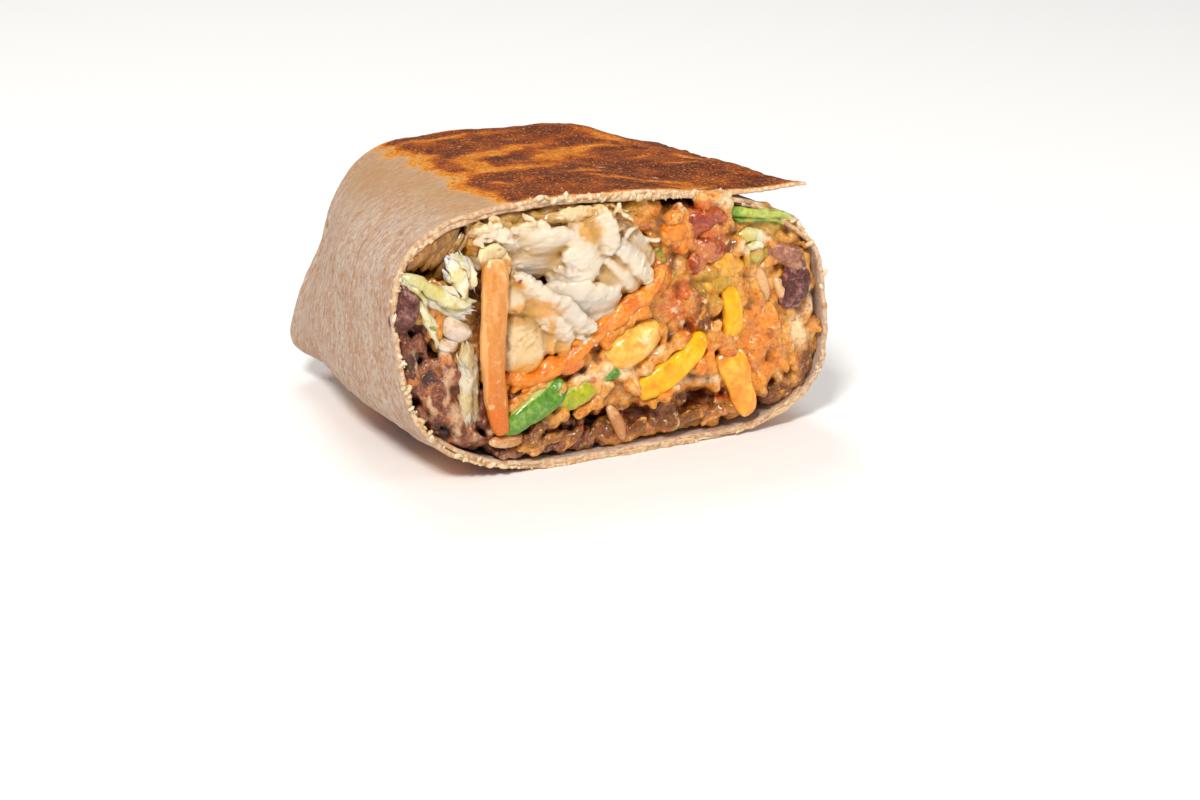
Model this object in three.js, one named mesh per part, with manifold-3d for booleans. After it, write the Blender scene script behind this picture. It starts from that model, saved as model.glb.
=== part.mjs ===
// Half of a toasted wholewheat burrito, cut straight across and lying on its pressed flat side.
// Millimetres, +Z up. X runs along the cut face and +Y runs into the burrito, to its folded end.
// Shapes are worked out with the cut face at y = 0 and the middle of the cut at x = 0,
// and the group at the end moves them so that the origin is under the middle of the whole.
import * as THREE from "three";
import { mergeVertices } from "three/addons/utils/BufferGeometryUtils.js";
import Module from "manifold-3d";

const wasm = await Module();
wasm.setup();

// ---- sizes of the rolled wrap -------------------------------------------------------------
const wall = 2.2; // tortilla at the cut, two thin layers together
const gap = 0.3; // clearance between pieces that touch
const endStart = 68; // where the sides begin to close
const endDepth = 15; // from there to the outermost point of the folded end
const endTilt = 0.04; // the folded end leans: its top closes sooner than its bottom
const flatBase = 0.35; // how far the pressed underside is flattened
const endFullness = 0.72; // below 1 the folded end is fuller than a quarter ellipse
// One layer laps over the other on the folded end, along a slanting line, with pleats beside it.
const lap = { x: -6, z: 24, across: 0.8, up: 0.6, ahead: 4, width: 8, height: 1.5 };
const pleats = { z: 22, across: 0.24, up: -0.2, height: 0.7 };
// Three stations along the wrap: the cut, the middle and where the end starts to close.
const stations = [
  {
    y: 0, halfWidth: 44.8, height: 51.6, centre: 2.9, squareness: 3.2,
    leanLeft: 0.124, leanRight: 0.124, topSlope: -0.047, lift: 0,
  },
  {
    y: 38, halfWidth: 42.4, height: 50.6, centre: 1.9, squareness: 3.0,
    leanLeft: -0.1, leanRight: 0.1, topSlope: -0.04, lift: 0,
  },
  {
    y: 68, halfWidth: 34.8, height: 48.6, centre: 1.9, squareness: 2.7,
    leanLeft: -0.36, leanRight: 0.05, topSlope: -0.02, lift: 0.9,
  },
];
// The folded corner that points out at the lower left of the closed end.
const corner = { angle: 3.78, spread: 0.3, y: 71, length: 10, reach: 3.6 };

// The seam flap: the free edge of the wrap, which lies along the top and ends in a thin point.
const flap = {
  startFront: -14, startBack: 6, edgeFront: 42.4, edgeBack: 37.6, flareLength: 12, tuckY: 50, endY: 67,
  thickFront: 1.7, thickEdge: 0.7, rise: 0.35, proud: 0.15, slope: -0.079,
  sink: 1.9, tuckInward: 11, tuckDrop: 2.2,
};

// ---- small tools --------------------------------------------------------------------------
const lerp = THREE.MathUtils.lerp;
const smooth = (value) => THREE.MathUtils.smoothstep(value, 0, 1);
const v3 = (x, y, z) => new THREE.Vector3(x, y, z);

function seeded(seed) {
  let state = seed;
  return () => {
    state = (Math.imul(state, 1664525) + 1013904223) >>> 0;
    return state / 4294967296;
  };
}

// A slow, smooth unevenness between about -1 and 1.
function unevenness(x, z, seed) {
  return (
    0.5 * Math.sin(0.31 * x + 1.7 * seed) * Math.cos(0.27 * z - 0.9 * seed) +
    0.32 * Math.sin(0.62 * x - 0.41 * z + 2.3 * seed) +
    0.25 * Math.cos(0.93 * z + 0.55 * x + 4.1 * seed)
  );
}

// A closed solid from loops of points, one after the other. Each end closes on a tip, or, for
// a flat band whose loop runs out along one side and back along the other, straight across it.
function lofted(loops, firstTip = null, lastTip = null) {
  const count = loops[0].length;
  const points = loops.flat();
  const end = (loops.length - 1) * count;
  const faces = [];
  for (let k = 0; k + 1 < loops.length; k++) {
    for (let i = 0; i < count; i++) {
      const here = k * count + i;
      const beside = k * count + ((i + 1) % count);
      faces.push(here, beside, here + count, beside, beside + count, here + count);
    }
  }
  if (firstTip) {
    points.push(firstTip, lastTip);
    for (let i = 0; i < count; i++) {
      const j = (i + 1) % count;
      faces.push(points.length - 2, j, i, end + i, end + j, points.length - 1);
    }
  } else {
    for (let i = 0; i + 1 < count / 2; i++) {
      const across = count - 1 - i;
      faces.push(i, across, i + 1, i + 1, across, across - 1);
      faces.push(end + i, end + i + 1, end + across, end + i + 1, end + across - 1, end + across);
    }
  }
  const geometry = new THREE.BufferGeometry().setFromPoints(points);
  geometry.setIndex(faces);
  return solidOf(geometry);
}

function middleOf(loop) {
  return loop.reduce((sum, point) => sum.add(point), v3(0, 0, 0)).divideScalar(loop.length);
}

function solidOf(geometry) {
  geometry.deleteAttribute("normal");
  geometry.deleteAttribute("uv");
  const merged = mergeVertices(geometry, 1e-4);
  const make = (index) =>
    new wasm.Manifold(
      new wasm.Mesh({
        numProp: 3,
        vertProperties: new Float32Array(merged.attributes.position.array),
        triVerts: new Uint32Array(index),
      }),
    );
  const index = Array.from(merged.index.array);
  const solid = make(index);
  return solid.volume() < 0 ? make(index.reverse()) : solid;
}

function geometryOf(solid) {
  const mesh = solid.getMesh();
  const geometry = new THREE.BufferGeometry();
  geometry.setAttribute("position", new THREE.BufferAttribute(mesh.vertProperties, 3));
  geometry.setIndex(new THREE.BufferAttribute(mesh.triVerts, 1));
  geometry.computeVertexNormals();
  return geometry;
}

// The largest body of a solid, with the loose scraps of a cut dropped.
function largest(solid) {
  return solid.decompose().sort((a, b) => b.volume() - a.volume())[0];
}

// ---- the rolled wrap ----------------------------------------------------------------------
// Sizes at a station between the named ones, on the parabola through all three.
function sectionAt(y) {
  const [first, middle, last] = stations;
  const weights = [
    ((y - middle.y) * (y - last.y)) / ((first.y - middle.y) * (first.y - last.y)),
    ((y - first.y) * (y - last.y)) / ((middle.y - first.y) * (middle.y - last.y)),
    ((y - first.y) * (y - middle.y)) / ((last.y - first.y) * (last.y - middle.y)),
  ];
  const blend = {};
  for (const key of Object.keys(first)) {
    blend[key] = stations.reduce((sum, station, i) => sum + weights[i] * station[key], 0);
  }
  return blend;
}

// A point on the skin, or inside it by inset. closing runs from 0 to 1 over the folded end.
function skinPoint(y, angle, inset, closing = 0) {
  const section = sectionAt(Math.min(y, endStart));
  const power = 2 / section.squareness;
  const across = Math.cos(angle);
  const upward = Math.sin(angle);
  const shrink = Math.cos((closing * Math.PI) / 2) ** endFullness;
  const halfHeight = section.height / 2;
  const u = (section.halfWidth - inset) * Math.sign(across) * Math.abs(across) ** power * shrink;
  const v = (halfHeight - inset) * Math.sign(upward) * Math.abs(upward) ** power * shrink;
  const lean = lerp(section.leanRight, section.leanLeft, (1 - across) / 2);
  const z = v + section.topSlope * u * (v / section.height + 0.5);
  const turn = Math.exp(-(((angle - corner.angle) / corner.spread) ** 2));
  const along = y + endDepth * Math.sin((closing * Math.PI) / 2);
  const near = Math.exp(-(((along - corner.y) / corner.length) ** 2));
  const push = corner.reach * turn * near * (1 - closing);
  const leaning = smooth((y - 30) / (endStart - 30));
  const height = section.lift + halfHeight + z + push * upward * 0.25;
  return v3(
    section.centre + u - lean * z - push,
    y - endTilt * z * leaning + (endDepth - inset) * Math.sin((closing * Math.PI) / 2),
    Math.max(height - flatBase, inset),
  );
}

// One lap of the wrap over the other, and the pinched pleats beside it, on the folded end.
function endFold(point, closing) {
  const past = lap.across * (point.x - lap.x) + lap.up * (point.z - lap.z) + lap.ahead;
  const step = lap.height * (smooth(past / lap.width) - 0.5);
  const pleat = Math.cos(pleats.across * point.x + pleats.up * (point.z - pleats.z)) * pleats.height;
  point.y += closing * (step + pleat);
  return point;
}

function wrapSolid({ inset, front, sides, steps, endRings, fold }) {
  const loops = [];
  const loopAt = (y, closing) =>
    Array.from({ length: sides }, (_, i) => {
      const point = skinPoint(y, ((i + 0.5) / sides) * 2 * Math.PI, inset, closing);
      return fold ? endFold(point, smooth(closing * 1.6)) : point;
    });
  if (front < 0) {
    loops.push(loopAt(0, 0).map((point) => v3(point.x, front, point.z)));
  }
  for (let k = 0; k <= steps; k++) {
    loops.push(loopAt((endStart * k) / steps, 0));
  }
  for (let k = 1; k < endRings; k++) {
    loops.push(loopAt(endStart, k / endRings));
  }
  const lastTip = middleOf(loops[loops.length - 1]);
  lastTip.y += 0.12;
  return lofted(loops, middleOf(loops[0]), lastTip);
}

// The free edge of the wrap, a thin tongue that leaves the round shoulder and overhangs it.
// Its far end sinks into the wrap, where it is tucked under the folded end.
function flapSolid() {
  const steps = 12;
  const across = 7;
  const loops = [];
  for (let k = 0; k <= steps; k++) {
    const y = (flap.endY * k) / steps;
    const section = sectionAt(Math.min(y, endStart));
    const top = section.lift + section.height;
    const flare = Math.exp(-y / flap.flareLength);
    const tuck = smooth((y - flap.tuckY) / (flap.endY - flap.tuckY));
    const edge = lerp(flap.edgeBack, flap.edgeFront, flare) - flap.tuckInward * tuck;
    const upper = [];
    const lower = [];
    for (let i = 0; i <= across; i++) {
      const share = i / across;
      const x = lerp(lerp(flap.startFront, flap.startBack, y / flap.endY), edge, share);
      const thick = lerp(flap.thickFront, flap.thickEdge, share ** 2);
      const curl = flap.rise * flare * smooth((share - 0.8) / 0.2);
      const sink = flap.sink * Math.max(1 - smooth(share / 0.45), tuck);
      const drop = flap.tuckDrop * tuck * share;
      const z = top + flap.proud + flap.slope * x - drop + curl - sink - flatBase;
      upper.push(v3(x, y, z));
      lower.unshift(v3(x, y, z - thick));
    }
    loops.push([...upper, ...lower]);
  }
  return lofted(loops);
}

const skin = wrapSolid({ inset: 0, front: 0, sides: 52, steps: 8, endRings: 8, fold: true });
const hollow = wrapSolid({ inset: wall, front: -5, sides: 34, steps: 4, endRings: 4 });
const room = wrapSolid({ inset: wall + gap, front: -5, sides: 34, steps: 4, endRings: 4 });
const tortilla = skin.add(flapSolid()).subtract(hollow);

// ---- shapes of the filling ----------------------------------------------------------------
// Each maker takes grow, which swells the shape, so that what lies round it can be cut clear.

function turned(point, at, turn) {
  return point.applyEuler(new THREE.Euler(...turn, "XYZ")).add(v3(...at));
}

// A rounded lump with its long axis along x before it is turned. square 2 is an ellipsoid.
function lump({ at, size, turn = [0, 0, 0], square = 2.4, dents = 0, seed = 1, sides = 8, rows = 5 }) {
  return (grow) => {
    const [long, deep, high] = size.map((value) => value / 2 + grow);
    const loops = [];
    for (let k = 1; k < rows; k++) {
      const travel = (k / rows) * Math.PI;
      const ringSize = Math.sin(travel) ** (2 / square);
      const x = -long * Math.sign(Math.cos(travel)) * Math.abs(Math.cos(travel)) ** (2 / square);
      loops.push(
        Array.from({ length: sides }, (_, i) => {
          const angle = (i / sides) * 2 * Math.PI;
          const wobble = 1 + dents * unevenness(3 * k, 4 * Math.cos(angle) + 5 * Math.sin(angle), seed);
          const y = deep * ringSize * wobble * Math.cos(angle);
          const z = high * ringSize * wobble * Math.sin(angle);
          return turned(v3(x, y, z), at, turn);
        }),
      );
    }
    return lofted(loops, turned(v3(-long, 0, 0), at, turn), turned(v3(long, 0, 0), at, turn));
  };
}

// A flat strip along a curve, its broad side towards the cut face unless tipped.
function strip({ path, width, thickness, tip = 0, taper = 0.7, wave = 0, sides = 6, steps = 7 }) {
  return (grow) => {
    const curve = new THREE.CatmullRomCurve3(path.map((point) => v3(...point)));
    const facing = v3(0, -Math.cos(tip), Math.sin(tip));
    const loops = [];
    for (let k = 0; k <= steps; k++) {
      const share = k / steps;
      const tangent = curve.getTangent(share);
      const broad = v3(0, 0, 0).crossVectors(tangent, facing).normalize();
      const thin = v3(0, 0, 0).crossVectors(broad, tangent).normalize();
      const narrow = lerp(taper, 1, smooth(Math.min(share, 1 - share) * 5));
      const middle = curve.getPoint(share).addScaledVector(thin, wave * Math.sin(share * 9));
      if (k === 0) middle.addScaledVector(tangent, -grow);
      if (k === steps) middle.addScaledVector(tangent, grow);
      loops.push(
        Array.from({ length: sides }, (_, i) => {
          const angle = ((i + 0.5) / sides) * 2 * Math.PI;
          const a = (width / 2) * narrow + grow;
          const b = (thickness / 2) * narrow + grow;
          const c = Math.cos(angle);
          const s = Math.sin(angle);
          return middle
            .clone()
            .addScaledVector(broad, a * Math.sign(c) * Math.abs(c) ** 0.6)
            .addScaledVector(thin, b * Math.sign(s) * Math.abs(s) ** 0.6);
        }),
      );
    }
    return lofted(loops, middleOf(loops[0]), middleOf(loops[steps]));
  };
}

// A filling that runs into the food: a rounded bar of width and height, from the cut inwards.
function bar({ at, width, height, tilt = 0, front = -1, back = 50, dents = 0.08, seed = 1 }) {
  return (grow) => {
    const sides = 12;
    const steps = 4;
    const loops = [];
    for (let k = 0; k <= steps; k++) {
      const share = k / steps;
      const size = k === 0 ? 0.8 : 1 - 0.35 * share ** 3;
      const y = k === 0 ? front - grow : lerp(front + 1.6, back + grow, (k - 1) / (steps - 1));
      loops.push(
        Array.from({ length: sides }, (_, i) => {
          const angle = (i / sides) * 2 * Math.PI;
          const c = Math.cos(angle);
          const s = Math.sin(angle);
          const wobble = 1 + dents * unevenness(2.5 * k, 6 * c - 4 * s, seed);
          const x = (width / 2) * size * wobble * Math.sign(c) * Math.abs(c) ** 0.8 + grow * c;
          const z = (height / 2) * size * wobble * Math.sign(s) * Math.abs(s) ** 0.8 + grow * s;
          return v3(
            at[0] + x * Math.cos(tilt) - z * Math.sin(tilt),
            y,
            at[1] + x * Math.sin(tilt) + z * Math.cos(tilt),
          );
        }),
      );
    }
    const centre = (k) => v3(at[0], loops[k][0].y, at[1]);
    return lofted(loops, centre(0), centre(steps));
  };
}

// Several shapes joined into one, as the flakes of a piece of fish are.
function joined(...makers) {
  return (grow) => makers.map((make) => make(grow)).reduce((all, next) => all.add(next));
}

// A cooked rice grain of few sides.
function grain({ at, turn, length = 8.2, thickness = 3 }) {
  return lump({
    at, turn, size: [length, thickness, thickness], square: 2.3, sides: 6, rows: 4,
  })(0);
}

// ---- the pieces, the ones nearest the front first -----------------------------------------
const colours = {
  tortilla: "#cdb595", rice: "#cf7f35", mash: "#7d4a3a", fish: "#efe6d2", carrot: "#e08a3c",
  cabbage: "#dfe0a8", leaf: "#b9a25c", onion: "#e9e2d0", bean: "#43282b", brownBean: "#93655b",
  pepperGreen: "#5f9c2a", pepperLime: "#b9be4a", corn: "#f0bb4d", yellow: "#f4b41e",
  orange: "#ee8d1f", tomato: "#c9603a", sauce: "#dd8a3c", avocado: "#b3ad44",
};

const pieces = [
  {
    name: "carrot_strip", colour: colours.carrot, roughness: 0.45,
    make: joined(
      strip({
        path: [
          [-22.9, -0.6, 41.6], [-23.5, -1.5, 34], [-23.6, -1.7, 25], [-23.2, -1.6, 16], [-23.4, -1.2, 10.4],
        ],
        width: 5.2, thickness: 3.2, taper: 0.86, sides: 8,
      }),
      strip({
        path: [[-23.2, -0.2, 42.9], [-23.2, 3, 43.6], [-22.6, 8, 43.2]],
        width: 5, thickness: 3, tip: 1.5, steps: 4,
      }),
    ),
  },
  {
    name: "corn_1", colour: colours.corn, roughness: 0.35,
    make: lump({
      at: [5.2, 0.4, 21.9], size: [12.6, 7, 8.2], turn: [0, -0.38, 0], square: 2.5, sides: 10, rows: 6,
    }),
  },
  {
    name: "green_pepper_1", colour: colours.pepperGreen, roughness: 0.35,
    make: strip({
      path: [[-21.4, -0.6, 9.7], [-17, -1.2, 12.2], [-12.5, -1, 14.2], [-9.2, 0, 15.4]],
      width: 5.2, thickness: 3, steps: 6,
    }),
  },
  {
    name: "green_pepper_2", colour: colours.pepperLime, roughness: 0.4,
    make: strip({
      path: [[-9.6, -0.2, 12.6], [-6, -0.6, 13.7], [-1.8, 0, 14.6]], width: 3.8, thickness: 3, steps: 5,
    }),
  },
  {
    name: "green_pepper_3", colour: colours.pepperGreen, roughness: 0.4,
    make: strip({
      path: [[-2.6, 0.4, 17.3], [1.6, 0, 17], [6.6, 0.6, 17.4]], width: 3, thickness: 2.6, steps: 5,
    }),
  },
  {
    name: "yellow_pepper_1", colour: colours.yellow, roughness: 0.3,
    make: strip({
      path: [[6.8, -0.2, 12.2], [11, -1, 14.4], [16, -1, 17.6], [20.6, 0, 20.9]],
      width: 5.6, thickness: 3.4, taper: 0.55, sides: 8,
    }),
  },
  {
    name: "orange_pepper", colour: colours.orange, roughness: 0.3,
    make: joined(
      strip({
        path: [[26, -0.4, 17.4], [27.6, -1.2, 11.5], [29.3, -1, 4.9]],
        width: 7.4, thickness: 3.2, taper: 0.4, sides: 8, steps: 5,
      }),
      strip({
        path: [[23.6, 0.4, 14.6], [27, 0, 13.6], [32, 0.6, 11.4]], width: 5, thickness: 3, steps: 5,
      }),
    ),
  },
  {
    name: "yellow_pepper_2", colour: colours.yellow, roughness: 0.3,
    make: strip({
      path: [[24.7, 0.2, 30], [25.6, -0.6, 25.6], [25.9, 0, 20.8]], width: 4, thickness: 3.4, steps: 5,
    }),
  },
  {
    name: "corn_2", colour: colours.corn, roughness: 0.4,
    make: lump({ at: [25.6, 1.2, 34.2], size: [9.6, 6.5, 6.4], turn: [0, 0.22, 0], square: 2.5 }),
  },
  {
    name: "bean_1", colour: colours.bean, roughness: 0.35,
    make: lump({ at: [-38.6, 1.6, 34.6], size: [10.6, 6.4, 5.6], turn: [0, -1.35, 0], square: 2.2 }),
  },
  {
    name: "bean_2", colour: colours.brownBean, roughness: 0.4,
    make: lump({ at: [38.4, 1.4, 35.6], size: [9, 6.2, 5.2], turn: [0, 0.1, 0], square: 2.2 }),
  },
  {
    name: "bean_3", colour: colours.bean, roughness: 0.35,
    make: lump({ at: [40.8, 1.4, 28.6], size: [9.6, 6.6, 6], turn: [0, -1.2, 0], square: 2.2 }),
  },
  {
    name: "onion_piece", colour: colours.onion, roughness: 0.3,
    make: lump({ at: [-30.1, 0.4, 28.7], size: [6.8, 5, 5.4], turn: [0, 0.7, 0], square: 3.2 }),
  },
  {
    name: "cabbage_1", colour: colours.cabbage, roughness: 0.4,
    make: strip({
      path: [[-40, 0.8, 38.9], [-36, -0.4, 37.6], [-31.4, -0.6, 35], [-27.4, 0.4, 32.2]],
      width: 3.4, thickness: 1.5, wave: 0.3, steps: 7,
    }),
  },
  {
    name: "cabbage_2", colour: colours.cabbage, roughness: 0.4,
    make: strip({
      path: [[-35.8, 1.2, 34.4], [-35.2, 0.2, 30.6], [-33.6, 0.6, 25.4]], width: 3, thickness: 1.4, steps: 6,
    }),
  },
  {
    name: "cabbage_3", colour: colours.cabbage, roughness: 0.4,
    make: strip({
      path: [[-30.6, 1, 41.4], [-28.8, -0.4, 38.6], [-27.4, 0, 34.6]],
      width: 4.4, thickness: 1.6, wave: 0.4, steps: 6,
    }),
  },
  {
    name: "cabbage_4", colour: colours.cabbage, roughness: 0.4,
    make: strip({
      path: [[-28.6, 0.6, 25.8], [-29.6, 0, 19.6], [-28.6, 0.6, 12.4]], width: 3.6, thickness: 1.5, steps: 7,
    }),
  },
  {
    name: "cabbage_5", colour: colours.cabbage, roughness: 0.4,
    make: strip({
      path: [[27.2, 1, 39.2], [30.4, 0, 39.9], [33.8, 1, 39.4]], width: 3, thickness: 1.8, steps: 5,
    }),
  },
  {
    name: "leaf_1", colour: colours.leaf, roughness: 0.5,
    make: strip({
      path: [[-37.2, 3, 38.6], [-36.4, 1.4, 42.6], [-32.8, 1, 46.4], [-28.2, 2, 48.3]],
      width: 6, thickness: 1.3, tip: 0.7, wave: 0.3,
    }),
  },
  {
    name: "leaf_2", colour: colours.pepperLime, roughness: 0.35,
    make: strip({
      path: [[25.8, 1, 44.4], [30.5, -0.4, 43.8], [35.2, -0.2, 43.2], [39.4, 1.4, 40.8]],
      width: 3.2, thickness: 1.5, tip: 0.4, wave: 0.3, steps: 8,
    }),
  },
  {
    name: "tomato_1", colour: colours.tomato, roughness: 0.35,
    make: lump({ at: [20.9, 0.6, 44.2], size: [9.4, 7, 5.4], turn: [0, -0.1, 0], square: 3, dents: 0.1 }),
  },
  {
    name: "tomato_2", colour: colours.tomato, roughness: 0.35,
    make: lump({
      at: [21.6, 0.8, 38.2], size: [7.6, 7, 6], turn: [0, 0.3, 0], square: 3, dents: 0.1, seed: 2,
    }),
  },
  {
    name: "tomato_3", colour: colours.orange, roughness: 0.35,
    make: lump({
      at: [14.4, 0.6, 42.6], size: [5.6, 5, 4.6], turn: [0, 0.3, 0], square: 2.8, dents: 0.1, seed: 3,
    }),
  },
  {
    name: "avocado_1", colour: colours.avocado, roughness: 0.5,
    make: lump({ at: [32.6, 2.4, 35], size: [5, 6, 4], turn: [0, -0.4, 0], square: 2.4, dents: 0.1 }),
  },
  {
    name: "chili_sauce", colour: colours.sauce, roughness: 0.3,
    make: strip({
      path: [
        [-20, 0.8, 18.4], [-14, 0.2, 17.9], [-8, 0.2, 20.6], [-2.6, 0.2, 25.4],
        [3.2, 0.2, 28.6], [8.6, 0.2, 31], [14, 0.8, 34.6],
      ],
      width: 3.2, thickness: 3.4, taper: 0.6, steps: 11,
    }),
  },
  {
    name: "fish_1", colour: colours.fish, roughness: 0.45,
    make: joined(
      bar({ at: [-7, 40.6], width: 27, height: 13, tilt: -0.12, back: 52, seed: 2 }),
      lump({ at: [-16, -0.4, 44.4], size: [13, 5, 5.4], turn: [0, 0.15, 0], seed: 4, dents: 0.12 }),
      lump({ at: [-9, -0.9, 45.6], size: [9, 4.4, 4], turn: [0, -0.4, 0], seed: 5, dents: 0.12 }),
      lump({ at: [-10, -1.2, 40.4], size: [14, 5, 4.6], turn: [0, 0.3, 0], seed: 6, dents: 0.12 }),
      lump({ at: [-3.4, -0.9, 44], size: [8, 4.6, 5.6], turn: [0, 0.9, 0], seed: 7, dents: 0.12 }),
      lump({ at: [-12.6, -0.8, 35.8], size: [11, 4.4, 3.8], turn: [0, 0.5, 0], seed: 8, dents: 0.12 }),
    ),
  },
  {
    name: "fish_2", colour: colours.fish, roughness: 0.45,
    make: joined(
      bar({ at: [1.4, 33.6], width: 19, height: 9.5, tilt: -0.1, back: 46, front: -0.4, seed: 3 }),
      lump({ at: [6.6, -0.7, 38], size: [9.5, 4.4, 3.4], turn: [0, 0.95, 0], seed: 9, dents: 0.08 }),
      lump({ at: [9.2, -0.6, 35.8], size: [8.6, 4.2, 3.2], turn: [0, 0.95, 0], seed: 10, dents: 0.08 }),
      lump({ at: [-2.2, -0.9, 36.4], size: [10.5, 4.4, 4.4], turn: [0, 0.5, 0], seed: 11, dents: 0.1 }),
      lump({ at: [0.6, -0.7, 31.2], size: [10, 4.4, 5], turn: [0, 0.1, 0], seed: 12, dents: 0.1 }),
    ),
  },
  {
    name: "fish_3", colour: colours.fish, roughness: 0.45,
    make: joined(
      bar({ at: [-12.6, 26.6], width: 14.6, height: 14.6, tilt: 0.1, back: 44, front: -0.4, seed: 5 }),
      lump({ at: [-16.5, -1, 25.8], size: [11.4, 6, 7.4], turn: [0, 1.5, 0], square: 3, seed: 13 }),
      lump({ at: [-15.6, -0.4, 34.4], size: [9, 4.6, 6], turn: [0, 1.0, 0], seed: 14, dents: 0.1 }),
      lump({ at: [-8.4, -0.2, 25.6], size: [8.4, 4.6, 8], turn: [0, 0.7, 0], seed: 15, dents: 0.1 }),
    ),
  },
];

// ---- fitting the pieces together ----------------------------------------------------------
const meshes = [];
function addMesh(name, solid, colour, roughness) {
  const material = new THREE.MeshStandardMaterial({ color: colour, roughness, metalness: 0 });
  const mesh = new THREE.Mesh(geometryOf(solid), material);
  mesh.name = name;
  meshes.push(mesh);
}

addMesh("tortilla", largest(tortilla), colours.tortilla, 0.8);

let taken = null; // everything placed so far, swollen by the gap
for (const { name, colour, roughness, make } of pieces) {
  let solid = make(0).intersect(room);
  if (taken) {
    solid = solid.subtract(taken);
  }
  addMesh(name, largest(solid), colour, roughness);
  const swollen = make(gap);
  taken = taken ? taken.add(swollen) : swollen;
}

// The bean mash: a thick smear against the left and lower wall, running into the food.
const mash = { thickness: 13, thin: 4, from: 2.98, to: 4.5, front: 1.2, back: 40, count: 12 };
function mashSolid(grow) {
  const loops = [mash.front - grow, 12, 26, mash.back + grow].map((y, k) => {
    const outer = [];
    const inner = [];
    for (let i = 0; i <= mash.count; i++) {
      const share = i / mash.count;
      const angle = lerp(mash.from - grow / 30, mash.to + grow / 30, share);
      const thick = lerp(mash.thin, mash.thickness, Math.sin(Math.PI * share)) + 0.8 * Math.sin(2.1 * i);
      const uneven = k === 0 ? 0.9 * Math.sin(1.7 * i) : 0;
      outer.push(skinPoint(y, angle, wall - 1).setY(y + uneven));
      inner.unshift(skinPoint(y, angle, wall + thick + grow).setY(y - uneven));
    }
    return [...outer, ...inner];
  });
  return lofted(loops);
}

// The uneven face of the rice: dips and swells of about a grain, and hollows between the pieces.
const face = { cell: 5, recess: 1.6, swell: 1.1 };
const hollows = [
  { x: -6, z: 7.4, width: 9, height: 3.4, depth: 3.6 },
  { x: 13, z: 7.6, width: 8, height: 3, depth: 3 },
  { x: 36, z: 9.4, width: 4.4, height: 3, depth: 2.6 },
  { x: 28, z: 45, width: 4.6, height: 2.6, depth: 4 },
  { x: -33, z: 40, width: 3.4, height: 3.2, depth: 4.4 },
];
function faceDepth(x, z) {
  let depth = face.recess + face.swell * unevenness(x, z, 1.3);
  for (const hollowSpot of hollows) {
    const u = (x - hollowSpot.x) / hollowSpot.width;
    const v = (z - hollowSpot.z) / hollowSpot.height;
    depth += hollowSpot.depth * Math.exp(-(u * u + v * v));
  }
  return depth;
}

// A block larger than the room inside the wrap, with the uneven face towards the cut.
const block = { x: 2, z: 26, width: 108, depth: 120, height: 64 };
function facedBlock() {
  const { width, depth, height } = block;
  const columns = Math.round(width / face.cell);
  const rows = Math.round(height / face.cell);
  const box = new THREE.BoxGeometry(width, depth, height, columns, 1, rows);
  const position = box.attributes.position;
  for (let i = 0; i < position.count; i++) {
    const x = position.getX(i) + block.x;
    const z = position.getZ(i) + block.z;
    const y = position.getY(i) < 0 ? faceDepth(x, z) : depth;
    position.setXYZ(i, x, y, z);
  }
  return solidOf(box);
}

// Rice grains on the face, each half sunk, by rows that wander over the places where rice shows.
const riceAreas = [
  { x: [22, 43], z: [6, 34], spacing: 4.6, seed: 11 },
  { x: [-18, 24], z: [3.6, 10], spacing: 4.8, seed: 23 },
  { x: [13, 22], z: [23, 34], spacing: 5, seed: 31 },
];
const namedGrains = [
  { at: [33.4, 0.2, 30.2], turn: [0, 1.25, 0], length: 10.5 },
  { at: [37, 0.4, 24.4], turn: [0, 1.2, 0.1], length: 9.4 },
  { at: [-20.4, 0.6, 6.3], turn: [0, 0.1, 0.1], length: 7.4 },
  { at: [2.2, 1.4, 6.4], turn: [0, 1.1, 0.2], length: 6.6 },
];
// A grain that would cross a piece or the wrap is tried again a little to the side, then skipped.
function riceGrains(taken) {
  const grains = [];
  const place = (at, turn, length) => {
    const one = grain({ at, turn, length });
    const inside = one.subtract(room).isEmpty();
    const free = one.intersect(taken).isEmpty();
    if (inside && free) grains.push(one);
    return inside && free;
  };
  namedGrains.forEach(({ at, turn, length }) => place(at, turn, length));
  for (const area of riceAreas) {
    const random = seeded(area.seed);
    for (let x = area.x[0]; x < area.x[1]; x += area.spacing) {
      for (let z = area.z[0]; z < area.z[1]; z += area.spacing) {
        for (let attempt = 0; attempt < 5; attempt++) {
          const px = x + (random() - 0.5) * area.spacing;
          const pz = z + (random() - 0.5) * area.spacing;
          const turn = [0, random() * Math.PI, (random() - 0.5) * 0.6];
          if (place([px, faceDepth(px, pz) - 0.9, pz], turn, 7.6 + random())) break;
        }
      }
    }
  }
  return grains;
}

const mashBody = largest(mashSolid(0).intersect(room).subtract(taken));
addMesh("bean_mash", mashBody, colours.mash, 0.5);
taken = taken.add(mashSolid(gap));
const riceCore = largest(room.intersect(facedBlock()).subtract(taken));
const rice = riceGrains(taken).reduce((all, one) => all.add(one), riceCore);
addMesh("rice_filling", largest(rice), colours.rice, 0.5);

const burrito = new THREE.Group();
burrito.add(...meshes);
const box = new THREE.Box3().setFromObject(burrito);
const middle = box.getCenter(v3(0, 0, 0));
burrito.position.set(-middle.x, -middle.y, -box.min.z);

export default burrito;
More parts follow.
